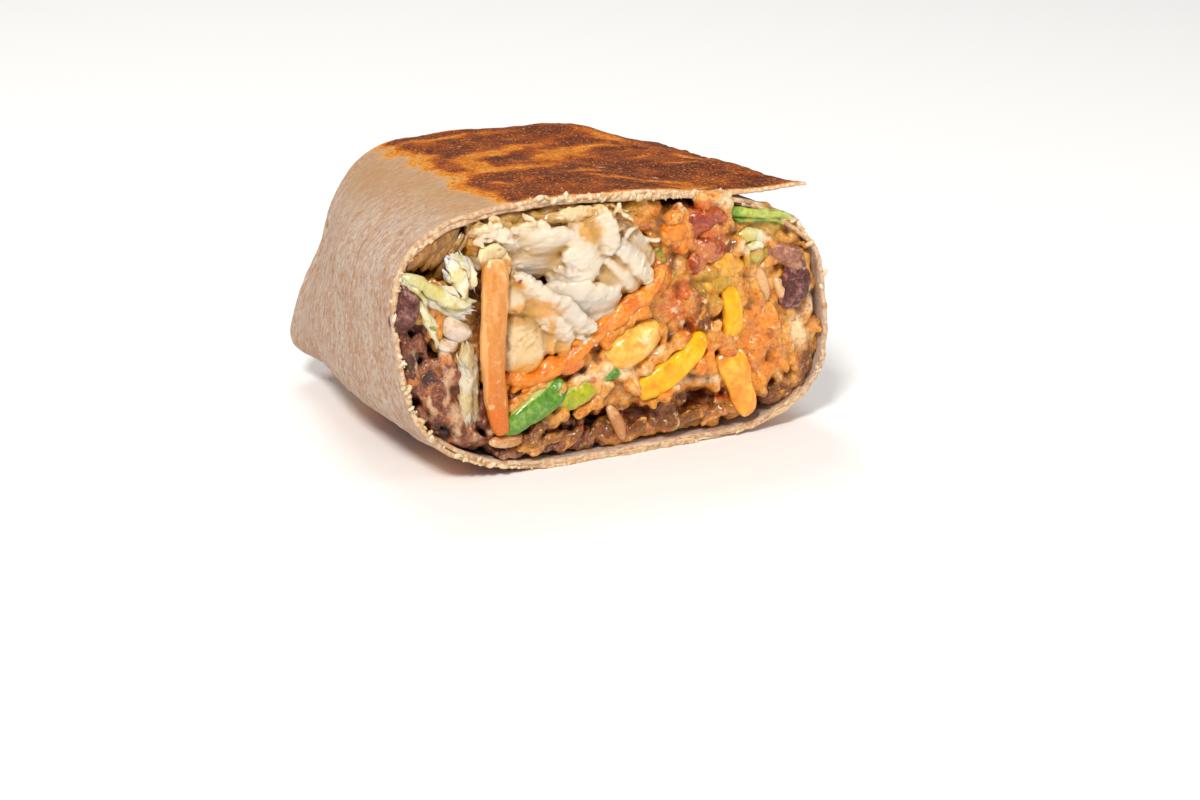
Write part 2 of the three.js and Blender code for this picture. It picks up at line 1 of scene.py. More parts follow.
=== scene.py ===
import math
import bpy
import numpy as np
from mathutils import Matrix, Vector


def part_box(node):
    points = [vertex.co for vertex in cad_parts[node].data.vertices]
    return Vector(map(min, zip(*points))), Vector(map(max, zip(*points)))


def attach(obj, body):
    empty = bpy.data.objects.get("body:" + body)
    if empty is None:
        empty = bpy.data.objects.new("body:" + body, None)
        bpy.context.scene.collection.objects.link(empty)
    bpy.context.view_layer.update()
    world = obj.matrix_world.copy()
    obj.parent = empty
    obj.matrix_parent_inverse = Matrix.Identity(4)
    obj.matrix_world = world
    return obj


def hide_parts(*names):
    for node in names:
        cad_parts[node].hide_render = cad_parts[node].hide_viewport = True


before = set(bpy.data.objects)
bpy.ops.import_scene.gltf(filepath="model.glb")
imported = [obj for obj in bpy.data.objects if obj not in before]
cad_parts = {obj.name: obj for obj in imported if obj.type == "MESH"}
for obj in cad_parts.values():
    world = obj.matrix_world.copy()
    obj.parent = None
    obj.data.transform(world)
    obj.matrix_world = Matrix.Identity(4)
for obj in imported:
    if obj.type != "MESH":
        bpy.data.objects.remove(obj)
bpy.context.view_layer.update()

print("frame loaded")

# All shapes are worked out in millimetres with the cut face at y = 0 and its middle at x = 0,
# +y into the burrito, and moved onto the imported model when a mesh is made.


def lerp(a, b, share):
    return a + (b - a) * share


def smooth(value):
    t = np.clip(value, 0.0, 1.0)
    return t * t * (3.0 - 2.0 * t)


def swelling(u, v, spot):
    # a soft round rise: how much, its middle in u and v, its half widths
    rise, middleU, middleV, wide, high = spot
    return rise * np.exp(-(((u - middleU) / wide) ** 2) - ((v - middleV) / high) ** 2)


def unit(vectors):
    length = np.linalg.norm(vectors, axis=-1, keepdims=True)
    return vectors / np.maximum(length, 1e-9)


def latticeValue(cell, seed):
    # one number between -1 and 1 for each whole-number cell
    c = cell.astype(np.int64).astype(np.uint32)
    n = c[..., 0] * np.uint32(374761393) + c[..., 1] * np.uint32(668265263)
    n = n + c[..., 2] * np.uint32(2246822519) + np.uint32((seed * 3266489917) % 4294967296)
    n = (n ^ (n >> np.uint32(13))) * np.uint32(1274126177)
    n = n ^ (n >> np.uint32(16))
    return n.astype(np.float64) / 2147483648.0 - 1.0


def softNoise(points, size, seed):
    p = np.asarray(points, float) / size
    base = np.floor(p)
    f = p - base
    f = f * f * (3.0 - 2.0 * f)
    total = np.zeros(p.shape[:-1])
    for corner in np.ndindex(2, 2, 2):
        x, y, z = (f[..., k] if far else 1 - f[..., k] for k, far in enumerate(corner))
        total += x * y * z * latticeValue(base + corner, seed)
    return total


def layeredNoise(points, size, seed, layers=3):
    total = np.zeros(np.asarray(points).shape[:-1])
    strength = 1.0
    for k in range(layers):
        total += strength * softNoise(points, size / 2**k, seed + 17 * k)
        strength *= 0.5
    return total


def blotches(points, size, seed, low, soft=0.4, layers=2):
    # uneven patches with soft borders, 0 to 1
    return smooth((layeredNoise(points, size, seed, layers) - low) / soft)


wrap = {
    "stations": [
        dict(y=0, halfWidth=44.8, height=51.6, centre=2.9, squareness=3.2,
             leanLeft=0.124, leanRight=0.124, topSlope=-0.047, lift=0),
        dict(y=38, halfWidth=42.4, height=50.6, centre=1.9, squareness=3,
             leanLeft=-0.1, leanRight=0.1, topSlope=-0.04, lift=0),
        dict(y=68, halfWidth=34.8, height=48.6, centre=1.9, squareness=2.7,
             leanLeft=-0.36, leanRight=0.05, topSlope=-0.02, lift=0.9),
    ],
    "endStart": 68, "endDepth": 15, "endTilt": 0.04, "flatBase": 0.35, "foldStep": 1.5,
    "cornerAngle": 3.78, "cornerSpread": 0.3, "cornerY": 71, "cornerLength": 10, "cornerReach": 3.6,
    "sheet": 1.02,  # one layer of tortilla
    "layerGap": 0.14,  # air between the two layers
    "outerColumns": 420, "innerColumns": 380, "edgeRows": 4,
    # swells of the outer sheet: how much, middle across or up, middle along, half widths
    "shoulder": (2.2, -17.5, 68, 8, 15), "hump": (2.7, 26.5, 62, 8.5, 10), "waist": (3.6, 33, 70, 9, 16),
}
flap = {
    "startFront": -14, "startBack": 6, "edgeFront": 42.4, "edgeBack": 37.6, "flareLength": 12,
    "tuckY": 50, "endY": 67, "tuckPull": 13, "rise": 0.35, "proud": 0.15, "slope": -0.079,
    "blend": 16,  # how far across it takes to lift off the skin
    "under": 0.55,  # how far round the sheet goes on under it
}


def sectionAt(y):
    first, middle, last = wrap["stations"]
    a, b, c = first["y"], middle["y"], last["y"]
    weights = (
        (y - b) * (y - c) / ((a - b) * (a - c)),
        (y - a) * (y - c) / ((b - a) * (b - c)),
        (y - a) * (y - b) / ((c - a) * (c - b)),
    )
    return {key: sum(w * s[key] for w, s in zip(weights, wrap["stations"])) for key in first}


def skinPoint(y, angle, inset=0.0, closing=0.0):
    s = sectionAt(min(y, wrap["endStart"]))
    power = 2.0 / s["squareness"]
    across, upward = np.cos(angle), np.sin(angle)
    shrink = math.cos(closing * math.pi / 2) ** 0.72
    half = s["height"] / 2
    u = (s["halfWidth"] - inset) * np.sign(across) * np.abs(across) ** power * shrink
    v = (half - inset) * np.sign(upward) * np.abs(upward) ** power * shrink
    lean = lerp(s["leanRight"], s["leanLeft"], (1 - across) / 2)
    z = v + s["topSlope"] * u * (v / s["height"] + 0.5)
    around = np.mod(angle, 2 * math.pi)
    turn = np.exp(-(((around - wrap["cornerAngle"]) / wrap["cornerSpread"]) ** 2))
    out = math.sin(closing * math.pi / 2)
    near = math.exp(-(((y + wrap["endDepth"] * out - wrap["cornerY"]) / wrap["cornerLength"]) ** 2))
    push = wrap["cornerReach"] * turn * near * (1 - closing)
    leaning = smooth((y - 30) / (wrap["endStart"] - 30))
    height = s["lift"] + half + z + push * upward * 0.25
    return np.stack([
        s["centre"] + u - lean * z - push,
        y - wrap["endTilt"] * z * leaning + (wrap["endDepth"] - inset) * out,
        np.maximum(height - wrap["flatBase"], inset),
    ], axis=-1)


skinLeft = min(skinPoint(y, np.linspace(0, 2 * math.pi, 721))[:, 0].min() for y in (0, 4, 8, 12))
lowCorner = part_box("tortilla")[0]
toFrame = np.array([lowCorner.x * 1000 - skinLeft, lowCorner.y * 1000, 0.0])


def placed(name, data):
    thing = bpy.data.objects.new(name, data)
    bpy.context.scene.collection.objects.link(thing)
    return thing


def newPiece(name, points, faces, material, stands=(), masks=None, uv=None):
    mesh = bpy.data.meshes.new(name)
    points = (np.asarray(points, float) + toFrame) * 0.001
    mesh.from_pydata(points.tolist(), [], [tuple(face) for face in faces])
    mesh.update()
    mesh.polygons.foreach_set("use_smooth", [True] * len(mesh.polygons))
    for maskName, values in (masks or {}).items():
        layer = mesh.attributes.new(maskName, "FLOAT", "POINT")
        layer.data.foreach_set("value", np.asarray(values, np.float32))
    if uv is not None:
        corners = np.zeros(len(mesh.loops), np.int32)
        mesh.loops.foreach_get("vertex_index", corners)
        layer = mesh.uv_layers.new(name="wrapUv")
        layer.data.foreach_set("uv", np.asarray(uv, np.float32)[corners].ravel())
    mesh.materials.append(material)
    piece = placed(name, mesh)
    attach(piece, "root")
    if stands:
        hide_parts(*stands)


def gridFaces(rows, columns, start=0, closed=False, flip=False):
    i, j = np.meshgrid(np.arange(rows - 1), np.arange(columns if closed else columns - 1), indexing="ij")
    here = start + i * columns + j
    beside = start + i * columns + (j + 1) % columns
    quads = np.stack([here, beside, beside + columns, here + columns], axis=-1).reshape(-1, 4)
    return quads[:, ::-1] if flip else quads


def closedFaces(rows, columns):
    # rings of points closed by a first and a last point
    faces = [(0, 1 + (j + 1) % columns, 1 + j) for j in range(columns)]
    faces += gridFaces(rows, columns, 1, True).tolist()
    end = 1 + rows * columns
    return faces + [(end, end - columns + j, end - columns + (j + 1) % columns) for j in range(columns)]



class Finish:
    # a Principled material with short ways to add the nodes that it needs

    def __init__(self, name, roughness=0.5, scatter=0.0, scatterColour=(1, 0.5, 0.3), coat=0.0, specular=0.5):
        self.material = bpy.data.materials.new(name)
        self.material.use_nodes = True
        self.tree = self.material.node_tree
        self.shader = self.tree.nodes["Principled BSDF"]
        self.fill(self.shader, {"Roughness": roughness, "Specular IOR Level": specular})
        if scatter:
            self.fill(self.shader, {"Subsurface Weight": scatter, "Subsurface Radius": scatterColour,
                                    "Subsurface Scale": 0.0025})
        if coat:
            self.fill(self.shader, {"Coat Weight": coat, "Coat Roughness": 0.12})
        coordinates = self.add("ShaderNodeTexCoord").outputs["Object"]
        self.place = self.stretched((1000, 1000, 1000), coordinates)  # millimetres

    def fill(self, node, values):
        # a number or a colour is set on the socket itself, another node's output is linked to it
        for name, value in values.items():
            if isinstance(value, str):
                node.inputs[name].default_value = tint(value)
            elif isinstance(value, (int, float, tuple)):
                node.inputs[name].default_value = value
            elif value is not None:
                self.tree.links.new(value, node.inputs[name])
        return node

    def add(self, kind, values=None, **settings):
        node = self.tree.nodes.new(kind)
        for name, value in settings.items():
            setattr(node, name, value)
        return self.fill(node, values or {})

    def noise(self, size, detail=3.0, rough=0.55, twist=0.0, place=None):
        return self.add("ShaderNodeTexNoise", {
            "Scale": 1.0 / size, "Detail": detail, "Roughness": rough, "Distortion": twist,
            "Vector": place or self.place,
        }).outputs["Fac"]

    def cells(self, size, place):
        return self.add("ShaderNodeTexVoronoi", {"Scale": 1.0 / size, "Vector": place}).outputs["Distance"]

    def stretched(self, scale, source=None):
        return self.add("ShaderNodeMapping", {"Scale": scale,
                                              "Vector": source or self.place}).outputs["Vector"]

    def mask(self, name):
        return self.add("ShaderNodeAttribute", attribute_name=name).outputs["Fac"]

    def uv(self):
        return self.add("ShaderNodeUVMap").outputs["UV"]

    def step(self, value, low, high):
        values = {"From Min": low, "From Max": high, "Value": value}
        return self.add("ShaderNodeMapRange", values, interpolation_type="SMOOTHSTEP").outputs["Result"]

    def maths(self, kind, a, b):
        return self.add("ShaderNodeMath", {0: a, 1: b}, operation=kind).outputs["Value"]

    def times(self, a, b):
        return self.maths("MULTIPLY", a, b)

    def shaken(self, value, noise, amount):
        # value pushed up and down by a noise, so that its borders turn ragged
        return self.maths("ADD", value, self.times(self.maths("SUBTRACT", noise, 0.5), amount))

    def over(self, under, share, strength, top):
        # the colour top laid over another where share says, at most as strongly as strength
        return self.mix(self.times(share, strength), under, top)

    def ramp(self, value, stops):
        node = self.add("ShaderNodeValToRGB", {"Fac": value})
        ramp = node.color_ramp
        while len(ramp.elements) < len(stops):
            ramp.elements.new(0.5)
        for element, (position, colour) in zip(ramp.elements, stops):
            element.position = position
            element.color = tint(colour)
        return node.outputs["Color"]

    def mix(self, share, a, b, kind="MIX"):
        # sockets 6 and 7 and output 2 are the colour ones
        values = {"Factor": share, 6: a, 7: b}
        return self.add("ShaderNodeMix", values, data_type="RGBA", blend_type=kind).outputs[2]

    def colour(self, value):
        self.fill(self.shader, {"Base Color": value})

    def bumps(self, *layers):
        # each layer is a height and how deep it is in millimetres
        before = None
        for height, depth in layers:
            values = {"Distance": depth * 0.001, "Strength": 1.0, "Height": height, "Normal": before}
            before = self.add("ShaderNodeBump", values).outputs["Normal"]
        self.fill(self.shader, {"Normal": before})

    def gloss(self, value):
        self.fill(self.shader, {"Roughness": value})


def tint(code):
    # "#rrggbb" as seen on a screen, to the renderer's linear colour
    parts = [int(code[i : i + 2], 16) / 255 for i in (1, 3, 5)]
    linear = [c / 12.92 if c <= 0.04045 else ((c + 0.055) / 1.055) ** 2.4 for c in parts]
    return (*linear, 1.0)


print("tools ready")

toast = {
    "leftEdge": -21.2, "leftSlope": 0.07, "halo": 6, "raggedness": 1.5, "backEdge": 74,
    "dark": 0.84, "speckle": 0.15, "leastGold": 0.4, "wander": (1.1, 1.3),
    "colours": [(0.08, "#dcb57e"), (0.24, "#df9c40"), (0.40, "#d2791a"), (0.56, "#b0560f"), (0.74, "#8a3d0e"),
                (1.05, "#521f08")],
    # paler golden places on the toasted top: middle x and y, half length, half width, turn, strength
    "golden": [
        (-6, 62, 12, 1.8, 6, 0.5), (-12, 32.5, 3, 7, 8, 0.55), (-5, 26.2, 9, 2.4, 10, 0.55),
        (7.5, 36.5, 8.5, 4.2, 28, 0.55), (2, 45.5, 12, 2.4, 27, 0.5), (-8, 40, 6, 2.2, 30, 0.4),
        (15.5, 43.5, 9, 2, 8, 0.5), (26.5, 51, 7.5, 2.8, -52, 0.55), (10, 13.6, 7, 1.5, -14, 0.5),
        (17, 10.8, 6.5, 1.8, -30, 0.55), (20.5, 4.8, 7, 1.6, -8, 0.55), (33.8, 31, 5.5, 1.6, -68, 0.55),
        (29.6, 23.4, 3.6, 1, -20, 0.45), (17, 70, 15, 2, -3, 0.5), (6, 20.5, 5, 1, 20, 0.3),
        (24, 33, 5, 1, 30, 0.3), (36, 12, 4, 0.9, -30, 0.3), (-14, 14, 2.5, 1.6, -40, 0.35),
        (1.5, 8.5, 4, 0.9, 5, 0.3),
    ],
    # darker spots inside them
    "spots": [(-4.5, 35.4, 4.4, 1.5, 8, 0.55), (12, 6, 5.5, 2, -10, 0.25)],
}


def patch(x, y, spot):
    middleX, middleY, long, wide, turn, strength = spot
    a = math.radians(turn)
    u = (x - middleX) * math.cos(a) + (y - middleY) * math.sin(a)
    v = -(x - middleX) * math.sin(a) + (y - middleY) * math.cos(a)
    return strength * np.exp(-((u / long) ** 2 + (v / wide) ** 2) ** 1.3)


def toastAt(points, upward):
    # how toasted each point is: 0 raw, 0.4 golden, 1 charred
    flatPoints = points * (1, 1, 0)
    wanderX, wanderY = toast["wander"]  # the patches' borders stray so far, in mm
    x = points[:, 0] + wanderX * layeredNoise(flatPoints, 5, 5)
    y = points[:, 1] + wanderY * layeredNoise(flatPoints, 5, 9)
    value = np.full(len(points), toast["dark"])
    value += toast["speckle"] * layeredNoise(flatPoints, 3.2, 3)
    for spot in toast["golden"]:
        value -= patch(x, y, spot)
    for spot in toast["spots"]:
        value += patch(x, y, spot)
    value = np.maximum(value, toast["leastGold"] + 0.08 * layeredNoise(flatPoints, 3, 12))
    ragged = toast["raggedness"] * layeredNoise(flatPoints, 4.5, 21)
    left = toast["leftEdge"] + toast["leftSlope"] * y + 0.9 * np.sin(y * 0.3)
    share = np.clip((points[:, 0] - left + ragged + 3.0) / toast["halo"], 0, 1)
    edge = 0.42 * smooth(share / 0.4) + 0.58 * smooth((share - 0.55) / 0.45)
    back = smooth((toast["backEdge"] + ragged * 0.5 - y) / 5.0)
    front = 0.4 + 0.6 * smooth((points[:, 1] - 0.2 + 0.6 * ragged) / 2.0)
    onTop = edge * back * front * smooth((upward - 0.5) / 0.3)
    under = smooth((-0.75 - upward) / 0.2) * smooth((58 - y) / 12)
    under *= 0.55 + 0.4 * layeredNoise(flatPoints, 11, 33)
    return np.clip(value * onTop + under * smooth((y + 1) / 2), 0, 1)


def spiralRow(y, closing=0.0):
    # the outer turn of the wrap at y: from the free edge over the top, round, and in under the flap
    s = sectionAt(min(y, wrap["endStart"]))
    flare = math.exp(-y / flap["flareLength"])
    tuck = float(smooth((y - flap["tuckY"]) / (flap["endY"] - flap["tuckY"])))
    edge = lerp(flap["edgeBack"], flap["edgeFront"], flare) - flap["tuckPull"] * tuck
    start = lerp(flap["startFront"], flap["startBack"], min(1, y / flap["endY"]))
    rounding = np.linspace(0, 2 * math.pi, 1441)
    overTop = rounding <= math.pi
    upper = skinPoint(y, rounding, 0, closing)[overTop]

    def angleAt(x):
        return np.interp(-x, -upper[:, 0], rounding[overTop])

    if closing > 0:
        edge = min(edge, upper[:, 0].max() - 2)
        start = min(start, edge - 6)
    share = np.linspace(0, 1, 160)
    x = lerp(edge, start, share)
    onSkin = skinPoint(y, angleAt(x), 0, closing)
    free = s["lift"] + s["height"] + flap["proud"] + flap["slope"] * x - wrap["flatBase"]
    free += flap["rise"] * flare * smooth((0.2 - share) / 0.2)
    free += 0.35 * np.sin(x * 0.19 + y * 0.07) * smooth((x + 5) / 20)
    lifting = smooth((x - start) / flap["blend"])
    lying = lifting * (1 - tuck) * (1.0 if closing == 0 else 0.0)
    top = onSkin.copy()
    top[:, 0] = x
    top[:, 2] = lerp(onSkin[:, 2] + 0.25 * lifting, free, lying)
    wholeTurn = 2 * math.pi + angleAt(edge)
    tucked = np.linspace(angleAt(start), wholeTurn + flap["under"], 1300)
    under = smooth((tucked - (wholeTurn - 0.25)) / 0.4)
    outside = skinPoint(y, tucked, 0, closing)
    body = lerp(outside, skinPoint(y, tucked, wrap["sheet"] + 0.35, closing), under[:, None])
    return np.concatenate([top, body[1:]])


def resampled(line, count):
    length = np.concatenate([[0], np.cumsum(np.linalg.norm(np.diff(line, axis=0), axis=1))])
    where = np.linspace(0, length[-1], count)
    return np.stack([np.interp(where, length, line[:, k]) for k in range(line.shape[1])], axis=1), where


def endFold(points, closing):
    # one lap of the wrap over the other, and pinched pleats, on the folded end
    x, z = points[:, 0], points[:, 2]
    lap = smooth((0.8 * (x + 6) + 0.6 * (z - 24) + 1.2) / 2.4)
    broad = smooth((0.8 * (x + 6) + 0.6 * (z - 24) + 4) / 8)
    pleat = np.cos(0.24 * x - 0.2 * (z - 22)) * 0.7
    points[:, 1] += closing * (wrap["foldStep"] * (0.5 * lap + 0.5 * broad - 0.5) + pleat)
    creases = layeredNoise(points * (1, 0.4, 1), 7, 61)
    points[:, 1] += closing * 0.5 * creases
    return points


def outwardNormals(grid, spot, middle):
    # normals of a grid of points, all turned away from the middle as the one at spot has to be
    normals = unit(np.cross(np.gradient(grid, axis=0), np.gradient(grid, axis=1)))
    return -normals if (normals[spot] * (grid[spot] - middle)).sum() < 0 else normals


def outerWrap():
    count = wrap["outerColumns"]
    rows, along, around = [], [], []
    depth = 0.0
    stops = [(y, 0.0) for y in np.concatenate([np.linspace(0, 3, 7), np.linspace(3.8, 68, 84)])]
    stops += [(68.0, k / 26) for k in range(1, 26)]
    for y, closing in stops:
        row, where = resampled(spiralRow(y, closing), count)
        row = endFold(row, float(smooth(closing * 1.6)))
        if rows:
            depth += float(np.median(np.linalg.norm(row - rows[-1], axis=1)))
        rows.append(row)
        along.append(np.full(count, depth))
        around.append(where)
    grid = np.array(rows)
    normals = outwardNormals(grid, (20, 200), (2, 20, 26))
    flatGrid = grid.reshape(-1, 3)
    x, y, z = flatGrid.T
    up = normals[..., 2].reshape(-1)
    toasted = toastAt(flatGrid, up)
    # soft dents, wrinkles round the roll and blisters where it is toasted
    swell = 0.42 * layeredNoise(flatGrid, 19, 41, 2)
    ripple = 0.16 * softNoise(flatGrid * (0.5, 1.4, 0.5), 3.2, 43)
    blister = toasted * (0.2 * layeredNoise(flatGrid, 2.6, 45, 2) + 0.1 * softNoise(flatGrid, 0.9, 47))
    fine = 0.05 * layeredNoise(flatGrid, 1.1, 48, 2)
    swell = swell + swelling(x, y, wrap["shoulder"]) * smooth((up - 0.2) / 0.4)
    swell = swell + swelling(x, y, wrap["hump"]) * smooth((up - 0.1) / 0.5)
    swell = swell - swelling(z, y, wrap["waist"]) * smooth((-20 - x) / 8) * smooth((0.6 - up) / 0.5)
    fade = smooth(y / 8) * 0.7 + 0.3
    lowered = np.minimum(z / 6, 1.0)
    move = (swell * fade * lowered + ripple + blister + fine).reshape(grid.shape[:2])
    outer = grid + normals * move[..., None]
    outer[..., 2] = np.maximum(outer[..., 2], 0.0)
    ragged = 0.34 * layeredNoise(grid[0] * (1, 0, 1), 3.0, 51) + 0.24 * layeredNoise(grid[0], 0.9, 52, 2)
    ragged += 0.5 * smooth((softNoise(grid[0] * (1, 0, 1), 5.0, 54) - 0.45) / 0.3)
    pull = np.exp(-grid[:, :, 1] / 2.2) * ragged[None, :]
    outer[..., 1] += pull
    # free edge thins out; the far side of the sheet lies one layer in
    arc = np.linspace(0, 1, count)
    thick = wrap["sheet"] * (0.62 + 0.38 * smooth(arc / 0.05)) * np.ones(len(stops))[:, None]
    thick = thick * (1 + 0.12 * softNoise(grid * (1, 0.3, 1), 6, 57))
    inner = grid + normals * (move - thick)[..., None]
    inner[..., 1] += pull
    inner[..., 2] = np.maximum(inner[..., 2], 0.5)
    return outer, inner, toasted.reshape(grid.shape[:2]), np.array(along), np.array(around)


def sheetMesh(outer, inner, toasted, along, around, seed=71):
    # a sheet with both faces, its cut edge at the front roughened like torn bread
    rows, columns = outer.shape[:2]
    edgeRows = wrap["edgeRows"]
    points = [outer.reshape(-1, 3), inner.reshape(-1, 3)]
    raw = np.zeros(rows * columns)
    nearCut = np.exp(-outer[..., 1].reshape(-1) / 0.35) * 0.6
    masks = {"toast": [toasted.reshape(-1), raw], "cutEdge": [nearCut, raw]}
    uv = np.stack([around.reshape(-1), along.reshape(-1)], axis=1) / 100
    uvs = [uv, uv]
    faces = [gridFaces(rows, columns), gridFaces(rows, columns, rows * columns, flip=True)]
    start = 2 * rows * columns
    for k in range(1, edgeRows + 1):
        share = k / (edgeRows + 1)
        line = lerp(outer[0], inner[0], share)
        bulge = -0.14 * math.sin(math.pi * share) + 0.16 * layeredNoise(line, 0.9, seed) - 0.05
        line = line + bulge[:, None] * (0, 1, 0)
        points.append(line)
        masks["cutEdge"].append(np.ones(columns))
        masks["toast"].append(toasted[0] * (1 - share) ** 2)
        uvs.append(np.stack([around[0], along[0] - share], axis=1) / 100)
    index = [np.arange(columns)]
    index += [start + k * columns + np.arange(columns) for k in range(edgeRows)]
    index += [rows * columns + np.arange(columns)]
    for a, b in zip(index, index[1:]):
        faces.append(np.stack([a[:-1], b[:-1], b[1:], a[1:]], axis=1))
    for side in (0, columns - 1):  # the free edge and the hidden end of the sheet
        a = np.arange(rows) * columns + side
        b = a + rows * columns
        quad = np.stack([a[:-1], a[1:], b[1:], b[:-1]], axis=1)
        faces.append(quad if side == 0 else quad[:, ::-1])
    return (
        np.concatenate(points), np.concatenate(faces),
        {key: np.concatenate(value) for key, value in masks.items()}, np.concatenate(uvs),
    )


def tortillaFinish():
    f = Finish("toastedTortilla", roughness=0.78, scatter=0.12, scatterColour=(1.0, 0.6, 0.4), specular=0.12)
    uv = f.uv()
    flatWrap = f.stretched((100, 100, 100), uv)
    patches = f.noise(9, 4, 0.62, 0.7, flatWrap)
    streak = f.noise(1.9, 4, 0.68, 0.4, f.stretched((62, 100, 100), uv))
    fleck = f.noise(0.8, 4, 0.72, 0.3, f.stretched((70, 100, 100), uv))
    flour = f.noise(1.3, 5, 0.75, 0.5, f.stretched((75, 100, 100), uv))
    base = f.mix(f.step(patches, 0.36, 0.64), "#b8937a", "#c0a896")
    base = f.over(base, f.step(flour, 0.44, 0.64), 0.7, "#d6c9be")
    base = f.over(base, f.step(streak, 0.5, 0.64), 0.7, "#ab8266")
    base = f.over(base, f.step(fleck, 0.53, 0.66), 0.8, "#9a6c4a")
    bran = f.cells(1.9, f.stretched((50, 100, 100), uv))
    wanted = f.step(f.noise(4.0, 2, 0.5, 0, flatWrap), 0.47, 0.6)
    bran = f.times(f.maths("SUBTRACT", 1.0, f.step(bran, 0.08, 0.2)), wanted)
    base = f.over(base, bran, 0.8, "#8a5a34")
    base = f.over(base, f.mask("shoulder"), 0.7, "#b58a5a")
    grainy = f.noise(0.9, 4, 0.75, 0.2)
    crumbly = f.noise(0.36, 2, 0.6)
    # painted light: the low front of the wrap is lit up to pale gold
    base = f.over(base, f.mask("lipLight"), 0.85, "#fcd8a8")
    value = f.shaken(f.shaken(f.mask("toast"), grainy, 1.1), crumbly, 0.8)
    browned = f.ramp(value, toast["colours"])
    whole = f.mix(f.step(value, 0.08, 0.26), base, browned)
    speck = f.times(f.step(f.noise(0.5, 2, 0.5), 0.6, 0.7), f.step(f.mask("toast"), 0.3, 0.6))
    whole = f.over(whole, speck, 0.75, "#e8a850")
    edgeCrumb = f.mix(f.step(f.noise(1.0, 3), 0.4, 0.62), "#e2c3a0", "#c89a72")
    nearToast = f.step(f.mask("toast"), 0.02, 0.2)
    paleCrumb = f.mix(f.step(f.noise(0.8, 3), 0.4, 0.6), "#f1dcbd", "#dca562")
    cut = f.times(f.mask("cutEdge"), f.maths("SUBTRACT", 1.0, f.step(value, 0.6, 0.95)))
    f.colour(f.mix(cut, whole, f.mix(nearToast, edgeCrumb, paleCrumb)))
    f.bumps((grainy, 0.2), (crumbly, 0.14), (fleck, 0.14), (flour, 0.12))
    f.gloss(f.maths("SUBTRACT", 0.84, f.times(f.step(value, 0.3, 0.8), 0.2)))
    return f.material


def innerWrap():
    # the layer beneath: seen at the cut, where it backs the outer one
    count = wrap["innerColumns"]
    inset = wrap["sheet"] + wrap["layerGap"] - 0.45
    rows, along, around = [], [], []
    for y in (0, 0.5, 1, 1.6, 2.4, 4, 7, 12, 20, 32, 46, 62):
        angles = np.linspace(0.9, 0.9 + 2 * math.pi - 0.12, 1400)
        wavy = inset - 0.2 + 0.12 * np.sin(angles * 7) + 0.1 * np.sin(angles * 13 + 1)
        low = skinPoint(y, angles, inset)
        high = skinPoint(y, angles, inset + 0.3)
        line = lerp(low, high, ((wavy - inset + 0.22) / 0.44)[:, None])
        row, where = resampled(line, count)
        rows.append(row)
        along.append(np.full(count, y))
        around.append(where)
    grid = np.array(rows)
    normals = outwardNormals(grid, (4, 200), (2, 2, 26))
    ragged = 0.4 * layeredNoise(grid[0] * (1, 0, 1), 3.4, 81) + 0.2 * softNoise(grid[0], 0.8, 82) + 0.1
    side = smooth((np.abs(grid[0, :, 0] - 1.5) - 30) / 6) * smooth((44.5 - grid[0, :, 2]) / 5)
    side = side * smooth((grid[0, :, 2] - 5) / 5)
    ragged = ragged + 3.4 * side
    grid[..., 1] += np.exp(-grid[:, :, 1] / 3.6) * ragged[None, :]
    thick = 0.92 * (1 + 0.14 * softNoise(grid * (1, 0.3, 1), 5, 83))
    inner = grid - normals * thick[..., None]
    return grid, inner, np.array(along), np.array(around)


def makeTortilla():
    material = tortillaFinish()
    outer, inner, toasted, along, around = outerWrap()
    points, faces, masks, uv = sheetMesh(outer, inner, toasted, along, around)
    lastRow = np.arange(outer.shape[1]) + (outer.shape[0] - 1) * outer.shape[1]
    tip = len(points)
    points = np.vstack([points, outer[-1].mean(0) + (0, 0.1, 0)])
    uv = np.vstack([uv, uv[lastRow[0]]])
    masks = {key: np.append(value, 0.0) for key, value in masks.items()}
    fan = [(a, b, tip) for a, b in zip(lastRow, np.roll(lastRow, -1))]
    masks["shoulder"] = np.exp(-(((points[:, 0] + 25) / 8) ** 2)) * smooth((points[:, 2] - 36) / 10)
    # painted light on the low front of the wrap
    masks["lipLight"] = smooth((9 - points[:, 2]) / 5) * smooth((9 - points[:, 1]) / 8)
    allFaces = faces.tolist() + fan
    newPiece("tortilla_outer", points, allFaces, material, ("tortilla",), masks, uv)
    outer, inner, along, around = innerWrap()
    rawDough = np.zeros(outer.shape[:2])
    points, faces, masks, uv = sheetMesh(outer, inner, rawDough, along, around, seed=77)
    masks["shoulder"] = np.zeros(len(points))
    masks["lipLight"] = np.zeros(len(points))
    newPiece("tortilla_inner", points, faces.tolist(), material, (), masks, uv)


makeTortilla()
print("tortilla rolled")


